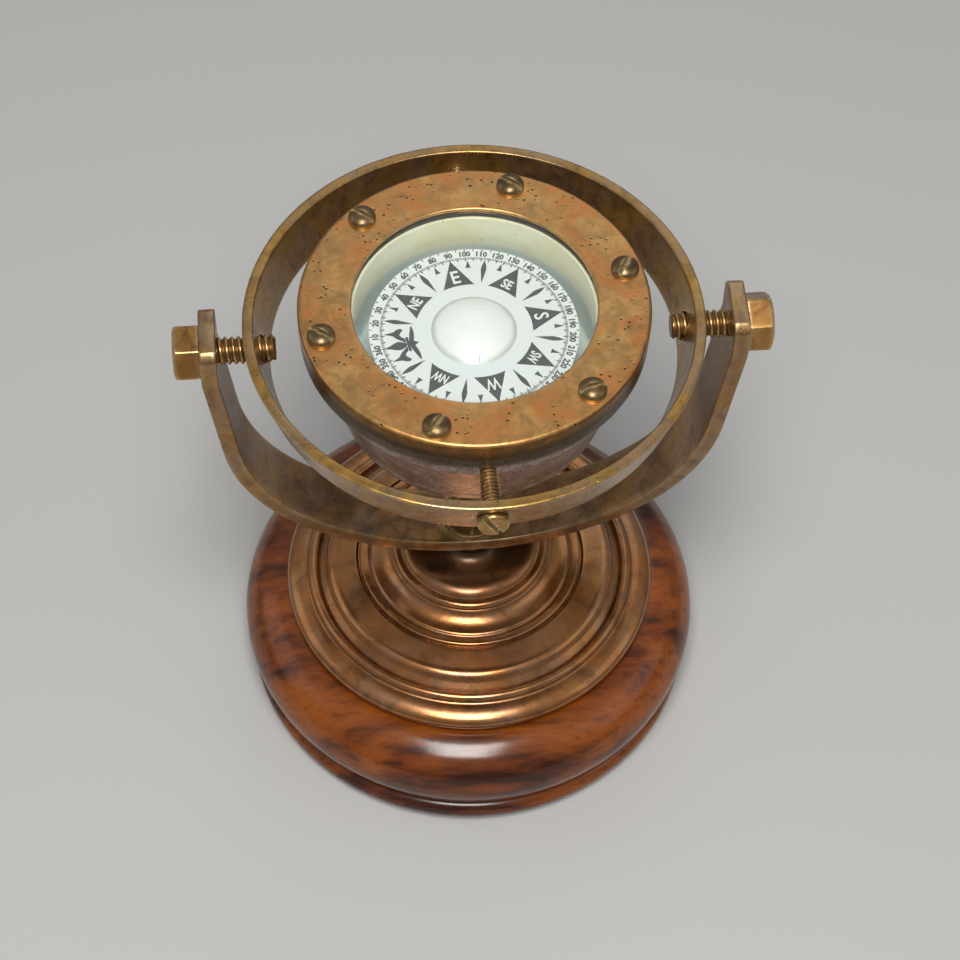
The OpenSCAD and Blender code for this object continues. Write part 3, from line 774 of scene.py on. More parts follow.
def rod(radius, start, stop, segments=48):
    """Round cutter between two points, in mm."""
    start, stop = Vector(start), Vector(stop)
    way = stop - start
    turn = way.to_track_quat("Z", "Y").to_matrix()
    rim = [spoke(radius, a) for a in full_turn(segments)]
    vertices = [turn @ Vector((x, y, z)) + start for z in (0, way.length) for x, y in rim]
    faces = [list(range(segments))[::-1], list(range(segments, 2 * segments))]
    faces += [[k, (k + 1) % segments, segments + (k + 1) % segments, segments + k] for k in range(segments)]
    return finished("cutter", vertices, faces, "bolt")


def ready(piece, body, slot, *nodes, crisp=None, wear=None):
    """Hand a piece over to its body and the nodes that it stands for; the slot argument is not used."""
    if crisp:
        piece.data.shade_smooth()
        piece.data.set_sharp_from_angle(angle=math.radians(crisp))
    if wear:
        weather(piece, *wear)
    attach(piece, body)
    if nodes:
        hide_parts(*nodes)
    print(piece.name, len(piece.data.polygons), "faces on", body)


print("cutting and handing over ready")

# %% [markdown]
# ## The wooden base
# The block is a fat cushion roll over a thin foot bead. Its widest line is at the middle of
# the roll, its flat top hides under the brass flange, and a groove runs between the roll and
# the bead. The underside has the pocket for the bolt head, so the outline turns in and up
# there.

# %% Turn the wooden base
PAD_T = 1.2
WOOD_R, WOOD_H, WOOD_TOP_R, WOOD_BELLY, FOOT_BEAD = 54.4, 25.2, 42.4, 14.5, 2.6
FOOT_R = WOOD_R - 1.1 - FOOT_BEAD
ROLL = WOOD_R - WOOD_TOP_R
BORE, POCKET_R, POCKET_H = 3.2, 11, 8
wood_outline = (
    [(BORE, WOOD_H), (BORE, POCKET_H), (POCKET_R, POCKET_H), (POCKET_R, 0)]
    + arc(FOOT_R, FOOT_BEAD, FOOT_BEAD, FOOT_BEAD, -90, 78, 14)
    + arc(WOOD_TOP_R, WOOD_BELLY, ROLL, WOOD_BELLY - FOOT_BEAD, -45, 0, 14)
    + arc(WOOD_TOP_R, WOOD_BELLY, ROLL, WOOD_H - WOOD_BELLY, 4, 90, 26)
)
wood = turned("turned_wood_base", wood_outline, "wood", PAD_T, step=1.0, closed=True)
ready(wood, "stand", "wood", "wood_base", crisp=50, wear=CAST_WEAR)

# %% [markdown]
# ## Flange and pedestal
# The brass foot plate has a fat rolled rim, a small round bead, a shoulder and a shallow dish
# that climbs to the pedestal. The pedestal starts with a thin lip, sweeps up in one wide cove
# to a bead, and ends in a round boss under the thin neck. The crisp inside corners matter:
# they are the dark rings between the bright ones.

# %% Turn the flange and the pedestal
FLANGE_Z = PAD_T + WOOD_H
DISH_H = 9.2
PEDESTAL_Z = FLANGE_Z + DISH_H
NECK_TOP = 48.7 - PEDESTAL_Z
flange_outline = (
    [(BORE, DISH_H), (BORE, 0)]
    + arc(41.2, 2.6, 2.6, 2.6, -62, -6, 10)
    + arc(39.2, 2.6, 4.6, 2.6, 0, 88, 22)
    + [(39.0, 5.26), (38.82, 5.4), (38.7, 5.6)]
    + arc(37.5, 5.6, 1.2, 1.2, 8, 165, 16)
    + [(36.25, 5.78), (36.15, 5.95)]
    + arc(32.1, 6.5, 2.3, 2.4, 24, 90, 16)
    + [(27.4, 9.95), (27.25, 9.97), (27.1, 9.9), (27.0, 9.75), (26.6, DISH_H)]
)
pedestal_outline = (
    [(BORE, NECK_TOP), (BORE, 0), (26.2, 0), (26.3, 0.15)]
    + arc(25.8, 0.9, 0.5, 0.5, 0, 90, 6)
    + [(24.4, 1.33), (24.15, 1.2), (24.0, 1.0), (23.85, 1.02), (23.65, 1.2)]
    + arc(23.4, 4.7, 5.0, 3.2, -90, -160, 22)
    + arc(17.3, 4.3, 1.2, 1.2, -25, 95, 14)
    + arc(13.4, 5.3, 3.4, 2.6, 5, 90, 20)
    + [(10.8, 7.9)]
    + arc(10.4, 10.2, 4.0, 2.3, -90, -180, 14)
    + [(6.4, NECK_TOP - 1.4), (7.2, NECK_TOP - 0.6), (7.4, NECK_TOP - 0.4), (7.4, NECK_TOP - 0.1), (7.3, NECK_TOP)]
)
flange = turned("turned_flange", flange_outline, "base", FLANGE_Z, step=0.7, closed=True)
ready(flange, "stand", "brass_cast", "base_flange", crisp=50, wear=CAST_WEAR)
pedestal = turned("turned_pedestal", pedestal_outline, "base", PEDESTAL_Z, step=0.6, segments=128, closed=True)
ready(pedestal, "stand", "brass_cast", "pedestal", crisp=50, wear=CAST_WEAR)

# %% [markdown]
# ## The yoke
# One brass strap is bent into a U that carries everything above it. Seen from the front, its
# outer line is a shallow arc, two tighter arcs that meet it smoothly, and two straight legs
# that lean out to upright lugs. A box with eased edges is swept along that line: its
# sections stay square to the strap, narrow at the two chamfered corners of each lug top, and
# the ends are rounded over.

# %% Sweep the yoke strap
STRAP_W, STRAP_T, STRAP_EASE = 15.0, 3.6, 0.45
LUG_X, LUG_UP, LUG_CHAMFER, LUG_FOOT_UP = 58.0, 6.9, 1.8, -2.7
YOKE_DROP, FLOOR_R, SIDE_R = 71.3, 60.2, 46.2
LEG_LEAN = math.radians(6.9)
LEG_OUT = np.array([math.cos(LEG_LEAN), -math.sin(LEG_LEAN)])
LEG_DOWN = np.array([-math.sin(LEG_LEAN), -math.cos(LEG_LEAN)])
FLOOR_UP = FLOOR_R - YOKE_DROP
leg_distance = float(np.array([LUG_X, LUG_FOOT_UP]) @ LEG_OUT) - SIDE_R
offset = leg_distance * LEG_OUT - np.array([0, FLOOR_UP])
slide = math.sqrt((offset @ LEG_DOWN) ** 2 - offset @ offset + (FLOOR_R - SIDE_R) ** 2) - offset @ LEG_DOWN
SIDE_X, SIDE_UP = (float(c) for c in leg_distance * LEG_OUT + slide * LEG_DOWN)
MEET = math.degrees(math.atan2(SIDE_UP - FLOOR_UP, SIDE_X))
TOP_UP = LUG_UP - STRAP_EASE
ACROSS, THROUGH = 18, 4
BEND_STEPS, LEG_STEPS, LUG_STEPS = 48, 16, 12


def strap_line(inset):
    """The strap's line at that depth under its outer face, from the left lug to the right one."""
    knee = (LUG_X - inset, LUG_FOOT_UP + inset * math.tan(LEG_LEAN / 2))
    top = (knee[0], TOP_UP)
    side = arc(SIDE_X, SIDE_UP, SIDE_R - inset, SIDE_R - inset, MEET, -math.degrees(LEG_LEAN), BEND_STEPS)
    half = arc(0, FLOOR_UP, FLOOR_R - inset, FLOOR_R - inset, -90, MEET, BEND_STEPS) + side[1:-1]
    half += split(side[-1], knee, LEG_STEPS) + split(knee, top, LUG_STEPS) + [top]
    half += [(knee[0], LUG_UP - STRAP_EASE * (1 - math.sin(a))) for a in np.radians((30, 60, 90))]
    return [(-x, z) for x, z in half[:0:-1]] + half


def strap_section(up):
    """Outline of the strap, as (across, depth), at that height over the pivot bolts."""
    lip = max(0.0, up - TOP_UP) / STRAP_EASE
    pull = STRAP_EASE * (1 - math.sqrt(max(0.0, 1 - lip * lip)))
    side = STRAP_W / 2 - max(0.0, up - (LUG_UP - LUG_CHAMFER)) - pull
    box = eased([(side, pull), (side, STRAP_T - pull), (-side, STRAP_T - pull), (-side, pull)], STRAP_EASE)
    line = []
    for here, there in zip(box, box[1:] + box[:1]):
        wide, deep = abs(there[0] - here[0]) > 4, abs(there[1] - here[1]) > 1
        line += split(here, there, ACROSS if wide else THROUGH if deep else 1)
    return line


vertices, rings = [], []
for (ox, oz), (ix, iz) in zip(strap_line(0), strap_line(STRAP_T)):
    section = strap_section(oz)
    rings.append(range(len(vertices), len(vertices) + len(section)))
    for out_y, depth in section:
        share = depth / STRAP_T
        z = max(oz + (iz - oz) * share, 0.4 - YOKE_DROP)
        vertices.append((ox + (ix - ox) * share, out_y, BOLT_Z + z))
faces = [list(rings[0])[::-1], list(rings[-1])]
for a, b in zip(rings, rings[1:]):
    faces += [[a[k], a[(k + 1) % len(a)], b[(k + 1) % len(a)], b[k]] for k in range(len(a))]
yoke = bored(
    finished("strap_yoke", vertices, faces, "yoke"),
    rod(3.0, (-64, 0, BOLT_Z), (64, 0, BOLT_Z)),
    rod(3.1, (0, 0, 46), (0, 0, 56)),
    rod(7.0, (0, 0, BOLT_Z - YOKE_DROP + STRAP_T), (0, 0, 60), 64),
)
ready(yoke, "stand", "brass_cast", "yoke", crisp=40, wear=CAST_WEAR)

# %% [markdown]
# ## The gimbal ring
# The ring is a flat band of brass, slightly conical, with a flat top edge that hands have
# kept bright. Four running holes cross it. The two for the bowl's pivot screws have a flat
# seat cut into the outside, against which the screw head runs.

# %% Turn and bore the ring
RING_R, RING_H, RING_T, RING_TAPER, RING_EDGE = 49.0, 11.0, 2.4, 3.3, 0.5
LOW_R, HALF_H = RING_R - RING_TAPER, RING_H / 2
SEAT_Y = RING_R - RING_TAPER / 2 - 0.45
HEAD_Y = SEAT_Y + 0.3
ring_outline = eased(
    [(LOW_R - RING_T, -HALF_H), (LOW_R, -HALF_H), (RING_R, HALF_H), (RING_R - RING_T, HALF_H)], RING_EDGE, 4
)
ring = bored(
    turned("gimbal_band", ring_outline, "ring", AXIS_Z, step=0.7, segments=224, closed=True),
    rod(3.05, (-52, 0, BOLT_Z), (52, 0, BOLT_Z)),
    rod(2.05, (0, -52, AXIS_Z), (0, 52, AXIS_Z)),
    rod(3.7, (0, SEAT_Y, AXIS_Z), (0, 53, AXIS_Z)),
    rod(3.7, (0, -SEAT_Y, AXIS_Z), (0, -53, AXIS_Z)),
)
ready(ring, "ring", "brass_cast", "gimbal_ring", crisp=35, wear=CAST_WEAR)

# %% [markdown]
# ## Bowl and bezel
# The bowl is turned from brass with a rounded bottom and a short rim. The bezel is the wide
# flat ring on top of it that holds the glass down. Its outer edge is rounded over, which
# gives the bright line at the front, and its inner edge is a narrow worn lip. Inside the
# bezel the bowl has a raised seat for the rubber seal.

# %% Turn the bowl and the bezel
BEZEL_R, BEZEL_UP, BEZEL_H, WINDOW_R, RIM_H = 37.1, 10.4, 5.2, 25.75, 3.0
RIM_UP = BEZEL_UP - BEZEL_H
RIM_LOW = RIM_UP - RIM_H
LIP_T, ROUNDING = 0.8, 0.9
PANE_T, SEAL_T, PANE_R = 1.6, 1.1, 28.7
SEAT_UP = BEZEL_UP - LIP_T - PANE_T - SEAL_T
SCREW_CIRCLE, SCREW_START = 33.1, 12.0
screw_places = [math.radians(SCREW_START + 60 * k) for k in range(6)]
bowl_outline = (
    [(0, -24)]
    + arc(22, -16.5, 7.5, 7.5, -90, -6, 20)
    + [(32.9, -5), (33.4, 0), (33.4, RIM_LOW - 0.2), (33.6, RIM_LOW), (36.2, RIM_LOW), (36.6, RIM_LOW + 0.15)]
    + [(36.9, RIM_LOW + 0.5), (36.9, RIM_UP), (PANE_R, RIM_UP), (PANE_R, SEAT_UP), (26, SEAT_UP)]
    + [(26, 3.6 - 16), (22.2, -16), (0, -16)]
)
bezel_outline = (
    [(28.9, 0), (36.7, 0), (36.9, 0.05), (37.05, 0.2)]
    + arc(BEZEL_R - ROUNDING, BEZEL_H - ROUNDING, ROUNDING, ROUNDING, 0, 90, 12)
    + [(WINDOW_R + 0.45, BEZEL_H), (WINDOW_R + 0.22, BEZEL_H - 0.07), (WINDOW_R + 0.07, BEZEL_H - 0.2)]
    + [(WINDOW_R, BEZEL_H - 0.4), (WINDOW_R, BEZEL_H - LIP_T + 0.05), (WINDOW_R + 0.05, BEZEL_H - LIP_T)]
    + [(28.9, BEZEL_H - LIP_T)]
)


def screw_holes(radius, low, high):
    """Cutters for the six screw holes of the bezel."""
    centres = [spoke(SCREW_CIRCLE, a) for a in screw_places]
    return [rod(radius, (x, y, AXIS_Z + low), (x, y, AXIS_Z + high), 24) for x, y in centres]


bowl = bored(
    turned("turned_bowl", bowl_outline, "bowl", AXIS_Z),
    rod(2.0, (0, 28.3, AXIS_Z), (0, 36, AXIS_Z)),
    rod(2.0, (0, -28.3, AXIS_Z), (0, -36, AXIS_Z)),
    *screw_holes(1.5, RIM_LOW - 0.5, RIM_UP + 1),
)
ready(bowl, "bowl", "brass_dark", "bowl", crisp=35, wear=CAST_WEAR)
bezel = turned("turned_bezel", bezel_outline, "bezel", AXIS_Z + RIM_UP, step=0.6, segments=224, closed=True)
bored(bezel, *screw_holes(1.6, RIM_UP - 1, BEZEL_UP + 1))
ready(bezel, "bowl", "brass_cast", "bezel", crisp=35, wear=CAST_WEAR)

# %% [markdown]
# ## Window, seal and painted cup
# The pane is a plain disc with ground edges, nearly flush with the bezel. Under it a black
# rubber seal sits on the bowl, and it shows as the dark line inside the lip. The cup that
# lines the bowl is painted cream, yellowed near the glass; lower down it is coloured pale blue
# grey, which is painted shade deep in the bowl.

# %% Cut the pane, the seal and the cup
CUP_FLOOR = -11.5
pane_outline = eased([(0, 0), (PANE_R, 0), (PANE_R, PANE_T), (0, PANE_T)], 0.2, 2, False)
seal_outline = eased([(26.2, 0), (PANE_R, 0), (PANE_R, SEAL_T), (26.2, SEAL_T)], 0.2, 2)
cup_outline = (
    [(2.1, CUP_FLOOR), (26, CUP_FLOOR), (26, SEAT_UP), (25.6, SEAT_UP), (25.5, SEAT_UP - 0.1)]
    + arc(24.5, -10.0, 1.0, 1.0, 0, -90, 6)
    + [(2.1, CUP_FLOOR + 0.5)]
)
pane = turned("window_pane", pane_outline, "glass", AXIS_Z + SEAT_UP + SEAL_T, step=4)
ready(pane, "bowl", "glass", "glass", crisp=35)
seal = turned("rubber_seal", seal_outline, "rubber", AXIS_Z + SEAT_UP, step=1.2, closed=True)
ready(seal, "bowl", "gasket", "gasket", crisp=60)
cup = turned("painted_cup", cup_outline, "cream", AXIS_Z, step=1.2, closed=True)
ready(cup, "bowl", "cream_paint", "liner", crisp=35)

# %% [markdown]
# ## Threads, by Geometry Nodes
# A thread is a rule, so a node tree makes it. A grid is rolled round the screw's axis and
# sheared by one pitch per turn, so that its rows run along the helix and the crest stays
# crisp. The radius of each row follows from its place between two crests. The two ends are
# clamped flat and drawn to the axis, and the seam is merged. The tree has named inputs for
# radius, pitch, depth, length and the chamfer at the tip, so every screw here uses it.

# %% Thread tree
THREAD_ROWS = 10.0
CREST_END, ROOT_START = 0.86, 0.14
SEAM = 0.004 * MM


class Tree(Nodes):
    """A geometry node tree with named inputs, built one node at a time."""

    def __init__(self, name, **inputs):
        super().__init__(bpy.data.node_groups.new(name, "GeometryNodeTree"))
        face = self.tree.interface
        for key, kind in {"Geometry": "Geometry", **inputs, "Finish": "Material"}.items():
            face.new_socket(key, in_out="INPUT", socket_type="NodeSocket" + kind)
        face.new_socket("Geometry", in_out="OUTPUT", socket_type="NodeSocketGeometry")
        self.given = self.node("NodeGroupInput").outputs

    def __getitem__(self, name):
        """The input of that name."""
        return Wire(self, self.given[name])

    def finish(self, geometry):
        """End the tree with real geometry in the finish that is given."""
        real = self.out("GeometryNodeRealizeInstances", {"Geometry": geometry})
        done = self.out("GeometryNodeSetMaterial", {"Geometry": real, "Material": self["Finish"]})
        self.node("NodeGroupOutput", {0: done})
        return self.tree


def run_tree(piece, tree, **values):
    """Run a tree on a piece with these inputs, and keep the result as a plain mesh."""
    step = piece.modifiers.new(tree.name, "NODES")
    step.node_group = tree
    for socket in tree.interface.items_tree:
        if socket.in_out == "INPUT" and socket.name in values:
            step[socket.identifier] = values[socket.name]
    return settle(piece)


def thread_tree():
    """Screw thread along +Z from height 0, closed at both ends."""
    sizes = ("Radius", "Pitch", "Depth", "Length", "Chamfer")
    t = Tree("screw_thread", **dict.fromkeys(sizes, "Float"), Segments="Int")
    radius, pitch, depth, length, chamfer = (t[size] for size in sizes)
    segments = t["Segments"]
    rows = (t.calc("CEIL", length / pitch) + 2.0) * THREAD_ROWS
    count = rows + 1.0
    sides = {"Size X": 1.0, "Size Y": 1.0, "Vertices X": segments + 1.0, "Vertices Y": count}
    grid = t.out("GeometryNodeMeshGrid", sides, "Mesh")
    number = t.out("GeometryNodeInputIndex")
    column = t.calc("FLOOR", (number + 0.5) / count)
    row = number - column * count
    angle = column / segments
    raw = row / THREAD_ROWS - 1.0 + angle
    height = t.calc("MINIMUM", t.calc("MAXIMUM", raw * pitch, 0.0), length)
    phase = t.calc("FRACT", height / pitch - angle + 2.0)
    away = t.calc("ABSOLUTE", phase - 0.5) * 2.0
    wall = radius - t.between(away, CREST_END, ROOT_START) * depth
    wall = t.calc("MINIMUM", wall, radius - chamfer + (length - height))
    first, last = t.calc("COMPARE", row, 0.0, 0.25), t.calc("COMPARE", row, rows, 0.25)
    wall = wall * (1.0 - t.calc("MAXIMUM", first, last))
    bearing = angle * (2 * math.pi)
    point = {"X": wall * t.calc("COSINE", bearing), "Y": wall * t.calc("SINE", bearing), "Z": height}
    place = t.out("ShaderNodeCombineXYZ", point)
    rolled = t.out("GeometryNodeSetPosition", {"Geometry": grid, "Position": place})
    merged = t.out("GeometryNodeMergeByDistance", {"Geometry": rolled, "Distance": SEAM})
    return t.finish(t.out("GeometryNodeSetShadeSmooth", {"Geometry": merged}))


thread = thread_tree()
print("thread tree:", len(thread.nodes), "nodes")

# %% [markdown]
# ## Threaded shanks and built-up pieces
# A shank starts as an empty object that the tree fills. Heads and shanks are made upright at
# the origin, moved by moving their meshes, and joined, so that a finished screw is one object
# that stands unturned at the origin.

# %% Shanks, moves and joins
UPSIDE_DOWN = Matrix.Rotation(math.pi, 4, "X")


def turn(degrees, axis):
    """Rotation about one axis."""
    return Matrix.Rotation(math.radians(degrees), 4, axis)


def shift(x, y, z):
    """Move by some mm."""
    return Matrix.Translation((x * MM, y * MM, z * MM))


def placed(piece, matrix):
    """Move the mesh itself, so that the object stays at the origin."""
    piece.data.transform(matrix)
    piece.data.update()
    return piece


def blank(name):
    """Empty mesh object for a tree that makes all of its own geometry."""
    return shown(name, bpy.data.meshes.new(name))


def threaded(name, radius, pitch, depth, length, chamfer, finish, segments=48):
    """Threaded shank along +Z from height 0, sizes in mm."""
    piece = run_tree(
        blank(name), thread, Radius=radius * MM, Pitch=pitch * MM, Depth=depth * MM, Length=length * MM,
        Chamfer=chamfer * MM, Segments=segments, Finish=finishes[finish],
    )
    with edited(piece.data) as work:
        bmesh.ops.dissolve_degenerate(work, edges=work.edges, dist=SAME_PLACE / 2)
        bmesh.ops.recalc_face_normals(work, faces=work.faces)
    return piece


def joined(name, *pieces):
    """One object from several, with their own finishes."""
    mesh = bpy.data.meshes.new(name)
    materials = []
    with edited(mesh) as work:
        for piece in pieces:
            first = len(work.faces)
            own = list(piece.data.materials)
            materials += [m for m in own if m not in materials]
            work.from_mesh(piece.data)
            work.faces.ensure_lookup_table()
            for face in work.faces[first:]:
                face.material_index = materials.index(own[face.material_index])
            bpy.data.objects.remove(piece)
    for material in materials:
        mesh.materials.append(material)
    return shown(name, mesh)


print("workshop helpers ready")

# %% [markdown]
# ## The two hexagon pivot bolts
# Each bolt passes through a lug of the yoke, and its shank runs in the ring's bore. The head
# is a hexagon whose top corners were cut back by a turned crown, which leaves the curved
# lower edge of the chamfer on every flat. Going round the head, the outline of each
# direction is known: out to the hexagon, up to where the cone meets it, in along the cone.
# So the head is built from such outlines, and its edges fall exactly on that curve.

# %% Make the bolts
HEX_CRISPNESS = 90
BOLT_R, BOLT_PITCH, BOLT_END_X = 3.0, 1.4, 42.0


def hex_stock(name, flats, height, crown, finish, hole=0.0, ease=0.18, segments=144):
    """Hexagon head from z = 0 up, with a turned crown and eased edges, in mm."""
    vertices, columns, faces, parts = [], [], [], None
    apothem = flats / 2
    cone_low, cone_top = apothem / math.cos(math.radians(30)) + 0.35, apothem - 0.5
    for angle in full_turn(segments):
        facets = [max(0.0, math.cos(angle - math.radians(60 * side))) ** HEX_CRISPNESS for side in range(6)]
        wall = apothem * sum(facets) ** (-1 / HEX_CRISPNESS)
        meet = height - crown + crown * (cone_low - wall) / (cone_low - cone_top)
        line = eased([(hole, 0), (wall, 0), (wall, meet), (cone_top, height), (hole, height)], ease, 3, False)
        parts = parts or [max(1, round(math.dist(a, b) / 0.6)) for a, b in zip(line, line[1:])]
        column = [point for a, b, n in zip(line, line[1:], parts) for point in split(a, b, n)] + [line[-1]]
        columns.append(range(len(vertices), len(vertices) + len(column)))
        vertices += [(*spoke(r, angle), z) for r, z in column]
    for a, b in zip(columns, columns[1:] + columns[:1]):
        faces += [[a[j], b[j], b[j + 1], a[j + 1]] for j in range(len(a) - 1)]
        if hole:
            faces.append([a[-1], b[-1], b[0], a[0]])
    return finished(name, vertices, faces, finish)


def pivot_bolt(name, head_turn, side):
    """Bolt on the +X side (side 1) or the -X side (side -1)."""
    head = placed(hex_stock(name + "_head", flats=11.3, height=5.6, crown=0.9, finish="bolt"), turn(head_turn, "Z"))
    shank = threaded(
        name + "_shank", BOLT_R, BOLT_PITCH, depth=0.55, length=LUG_X - BOLT_END_X, chamfer=0.7, finish="bolt"
    )
    bolt = joined(name, head, placed(shank, UPSIDE_DOWN))
    placed(bolt, shift(LUG_X * side, 0, BOLT_Z) @ turn(90 * side, "Y"))
    ready(bolt, "stand", "brass_cast", name, crisp=45, wear=BOLT_WEAR)


pivot_bolt("pivot_bolt_right", 22, 1)
pivot_bolt("pivot_bolt_left", -8, -1)

# %% [markdown]
# ## The nut, its washer and the centre bolt
# The centre bolt comes up through the wood, the flange, the pedestal and the yoke. Only its
# tip, its nut and the washer can be seen, under the bowl. They are made like the pivot bolts.

# %% Make the clamp of the yoke
SEAT_Z = BOLT_Z - YOKE_DROP + STRAP_T
WASHER_T, BASE_WASHER_T, TIP_UP = 1.0, 1.2, 7.6
CLAMP_Z = PAD_T + POCKET_H - BASE_WASHER_T
nut = hex_stock("clamp_nut", flats=10, height=5, crown=0.7, finish="screw", hole=BOLT_R)
placed(nut, shift(0, 0, SEAT_Z + WASHER_T))
ready(nut, "stand", "brass_dark", "yoke_nut", crisp=45, wear=BOLT_WEAR)
washer_outline = eased([(BORE, 0), (6.5, 0), (6.5, WASHER_T), (BORE, WASHER_T)], 0.2, 2)
washer = turned("clamp_washer", washer_outline, "screw", SEAT_Z, step=0.6, segments=96, closed=True)
ready(washer, "stand", "brass_dark", "yoke_washer", crisp=45, wear=CAST_WEAR)
clamp_head = placed(hex_stock("clamp_head", flats=10, height=4, crown=0.6, finish="screw"), UPSIDE_DOWN)
clamp_shank = threaded(
    "clamp_shank", BOLT_R, BOLT_PITCH, depth=0.5,
    length=SEAT_Z + TIP_UP - CLAMP_Z, chamfer=0.5, finish="screw", segments=32,
)
clamp = placed(joined("centre_clamp_bolt", clamp_head, clamp_shank), shift(0, 0, CLAMP_Z))
ready(clamp, "stand", "brass_dark", "centre_bolt", crisp=45, wear=BOLT_WEAR)

# %% [markdown]
# ## Slotted screws
# The two pivot screws of the bowl and the six screws of the bezel have round heads with a
# slot for the screwdriver. A head is turned from an outline, and the slot is cut with a
# block, because a slot has flat walls and a sharp bottom that no turned outline has.

# %% Turn and slot the heads
CORNERS = ((-1, -1), (1, -1), (1, 1), (-1, 1))
PIVOT_SLOT, SCREW_END_Y = (1.0, 1.3, -60), 28.5
SLOT_MARGIN = 0.02


def block(size, centre, degrees=0.0):
    """Rectangular cutter of that size round a centre, turned about the vertical, in mm."""
    half = [s / 2 for s in size]
    c, s = spoke(1, math.radians(degrees))
    corners = [(x * half[0], y * half[1], z * half[2]) for z in (-1, 1) for x, y in CORNERS]
    vertices = [(x * c - y * s + centre[0], x * s + y * c + centre[1], z + centre[2]) for x, y, z in corners]
    faces = [[3, 2, 1, 0], [4, 5, 6, 7]] + [[k, (k + 1) % 4, (k + 1) % 4 + 4, k + 4] for k in range(4)]
    return finished("cutter", vertices, faces, "bolt")


def dirty(piece, slot, floor, degrees=0.0):
    """Old polish packed into a screw slot of that width and floor."""
    grime = piece.data.attributes["grime"].data
    c, s = spoke(1, math.radians(degrees))
    for number, vertex in enumerate(piece.data.vertices):
        across = abs(vertex.co.y * c - vertex.co.x * s)
        if across < (slot / 2 + SLOT_MARGIN) * MM and vertex.co.z > (floor - SLOT_MARGIN) * MM:
            grime[number].value = 1.0


def slotted_head(name, outline, slot, floor, degrees, finish):
    """Turned head with a slot of that width, cut down to that height."""
    head = turned(name, outline, finish, step=0.4, segments=72)
    return bored(head, block((12, slot, 6), (0, 0, floor + 3), degrees))


def bowl_pivot_screw(name, side):
    """Pivot screw of the bowl on the front (side -1) or the rear (side 1)."""
    outline = [(0, 0), (3.1, 0), (3.3, 0.15), (3.3, 1.6)] + arc(2.5, 1.6, 0.8, 0.8, 12, 90, 8) + [(0, 2.4)]
    head = slotted_head(name + "_head", outline, *PIVOT_SLOT, "bolt")
    shank = threaded(
        name + "_shank", radius=2.0, pitch=0.9, depth=0.32,
        length=HEAD_Y - SCREW_END_Y, chamfer=0.4, finish="bolt", segments=40,
    )
    screw = weather(joined(name, head, placed(shank, UPSIDE_DOWN)), *SCREW_WEAR)
    dirty(screw, *PIVOT_SLOT)
    placed(screw, shift(0, HEAD_Y * side, AXIS_Z) @ turn(-90 * side, "X"))
    ready(screw, "bowl", "brass_dark", name, crisp=40)


bowl_pivot_screw("bowl_pivot_screw_front", -1)
bowl_pivot_screw("bowl_pivot_screw_rear", 1)

# %% [markdown]
# ## Bezel screws, by Geometry Nodes
# Six equal screws stand on one circle, so one screw is made and a tree puts it where it is
# needed. The tree works on a drilling template: a mesh of six points, each with the direction
# in which its slot was left when the screw was last tightened.

# %% Screw circle tree
SLOT_TURNS = (60, 142, 142, 144, 52, 16)
BEZEL_SLOT = (0.9, 0.9, 0)


def screw_circle_tree():
    """Put a screw on every point of a drilling template, turned as that point says."""
    t = Tree("screw_circle", Screw="Object", Height="Float")
    screw = t.out("GeometryNodeObjectInfo", {"Object": t["Screw"], "As Instance": True}, "Geometry")
    slot_turn = t.out("GeometryNodeInputNamedAttribute", {"Name": "slot_turn"}, data_type="FLOAT")
    spin = t.out("ShaderNodeCombineXYZ", {"Z": slot_turn})
    up = t.out("ShaderNodeCombineXYZ", {"Z": t["Height"]})
    raised = t.out("GeometryNodeSetPosition", {"Geometry": t["Geometry"], "Offset": up})
    stand = t.out("FunctionNodeEulerToRotation", {"Euler": spin})
    return t.finish(t.out("GeometryNodeInstanceOnPoints", {"Points": raised, "Instance": screw, "Rotation": stand}))


head_outline = [(0, 0), (2.85, 0), (3.0, 0.12), (3.0, 0.5)] + arc(0, 0.5, 3.0, 1.58, 12, 84, 12) + [(0, 2.08)]
one_head = slotted_head("one_head", head_outline, *BEZEL_SLOT, "screw")
one_shank = threaded(
    "one_shank", radius=1.5, pitch=0.7, depth=0.25,
    length=BEZEL_H + RIM_H, chamfer=0.3, finish="screw", segments=24,
)
one_screw = weather(joined("one_bezel_screw", one_head, placed(one_shank, UPSIDE_DOWN)), *SCREW_WEAR)
dirty(one_screw, *BEZEL_SLOT)
template = blank("bezel_screw_set")
template.data.from_pydata([(*spoke(SCREW_CIRCLE * MM, a), 0) for a in screw_places], [], [])
slots = template.data.attributes.new("slot_turn", "FLOAT", "POINT")
slots.data.foreach_set("value", [math.radians(a) for a in SLOT_TURNS])
run_tree(template, screw_circle_tree(), Screw=one_screw, Height=(AXIS_Z + BEZEL_UP) * MM, Finish=finishes["screw"])
bpy.data.objects.remove(one_screw)
ready(template, "bowl", "brass_dark", "bezel_screws", crisp=40)

# %% [markdown]
# ## The float
# A shallow milky dome rises through the middle of the card, with the air chamber of the
# float below it. It is one turned outline. A fine scratch marks its near side.

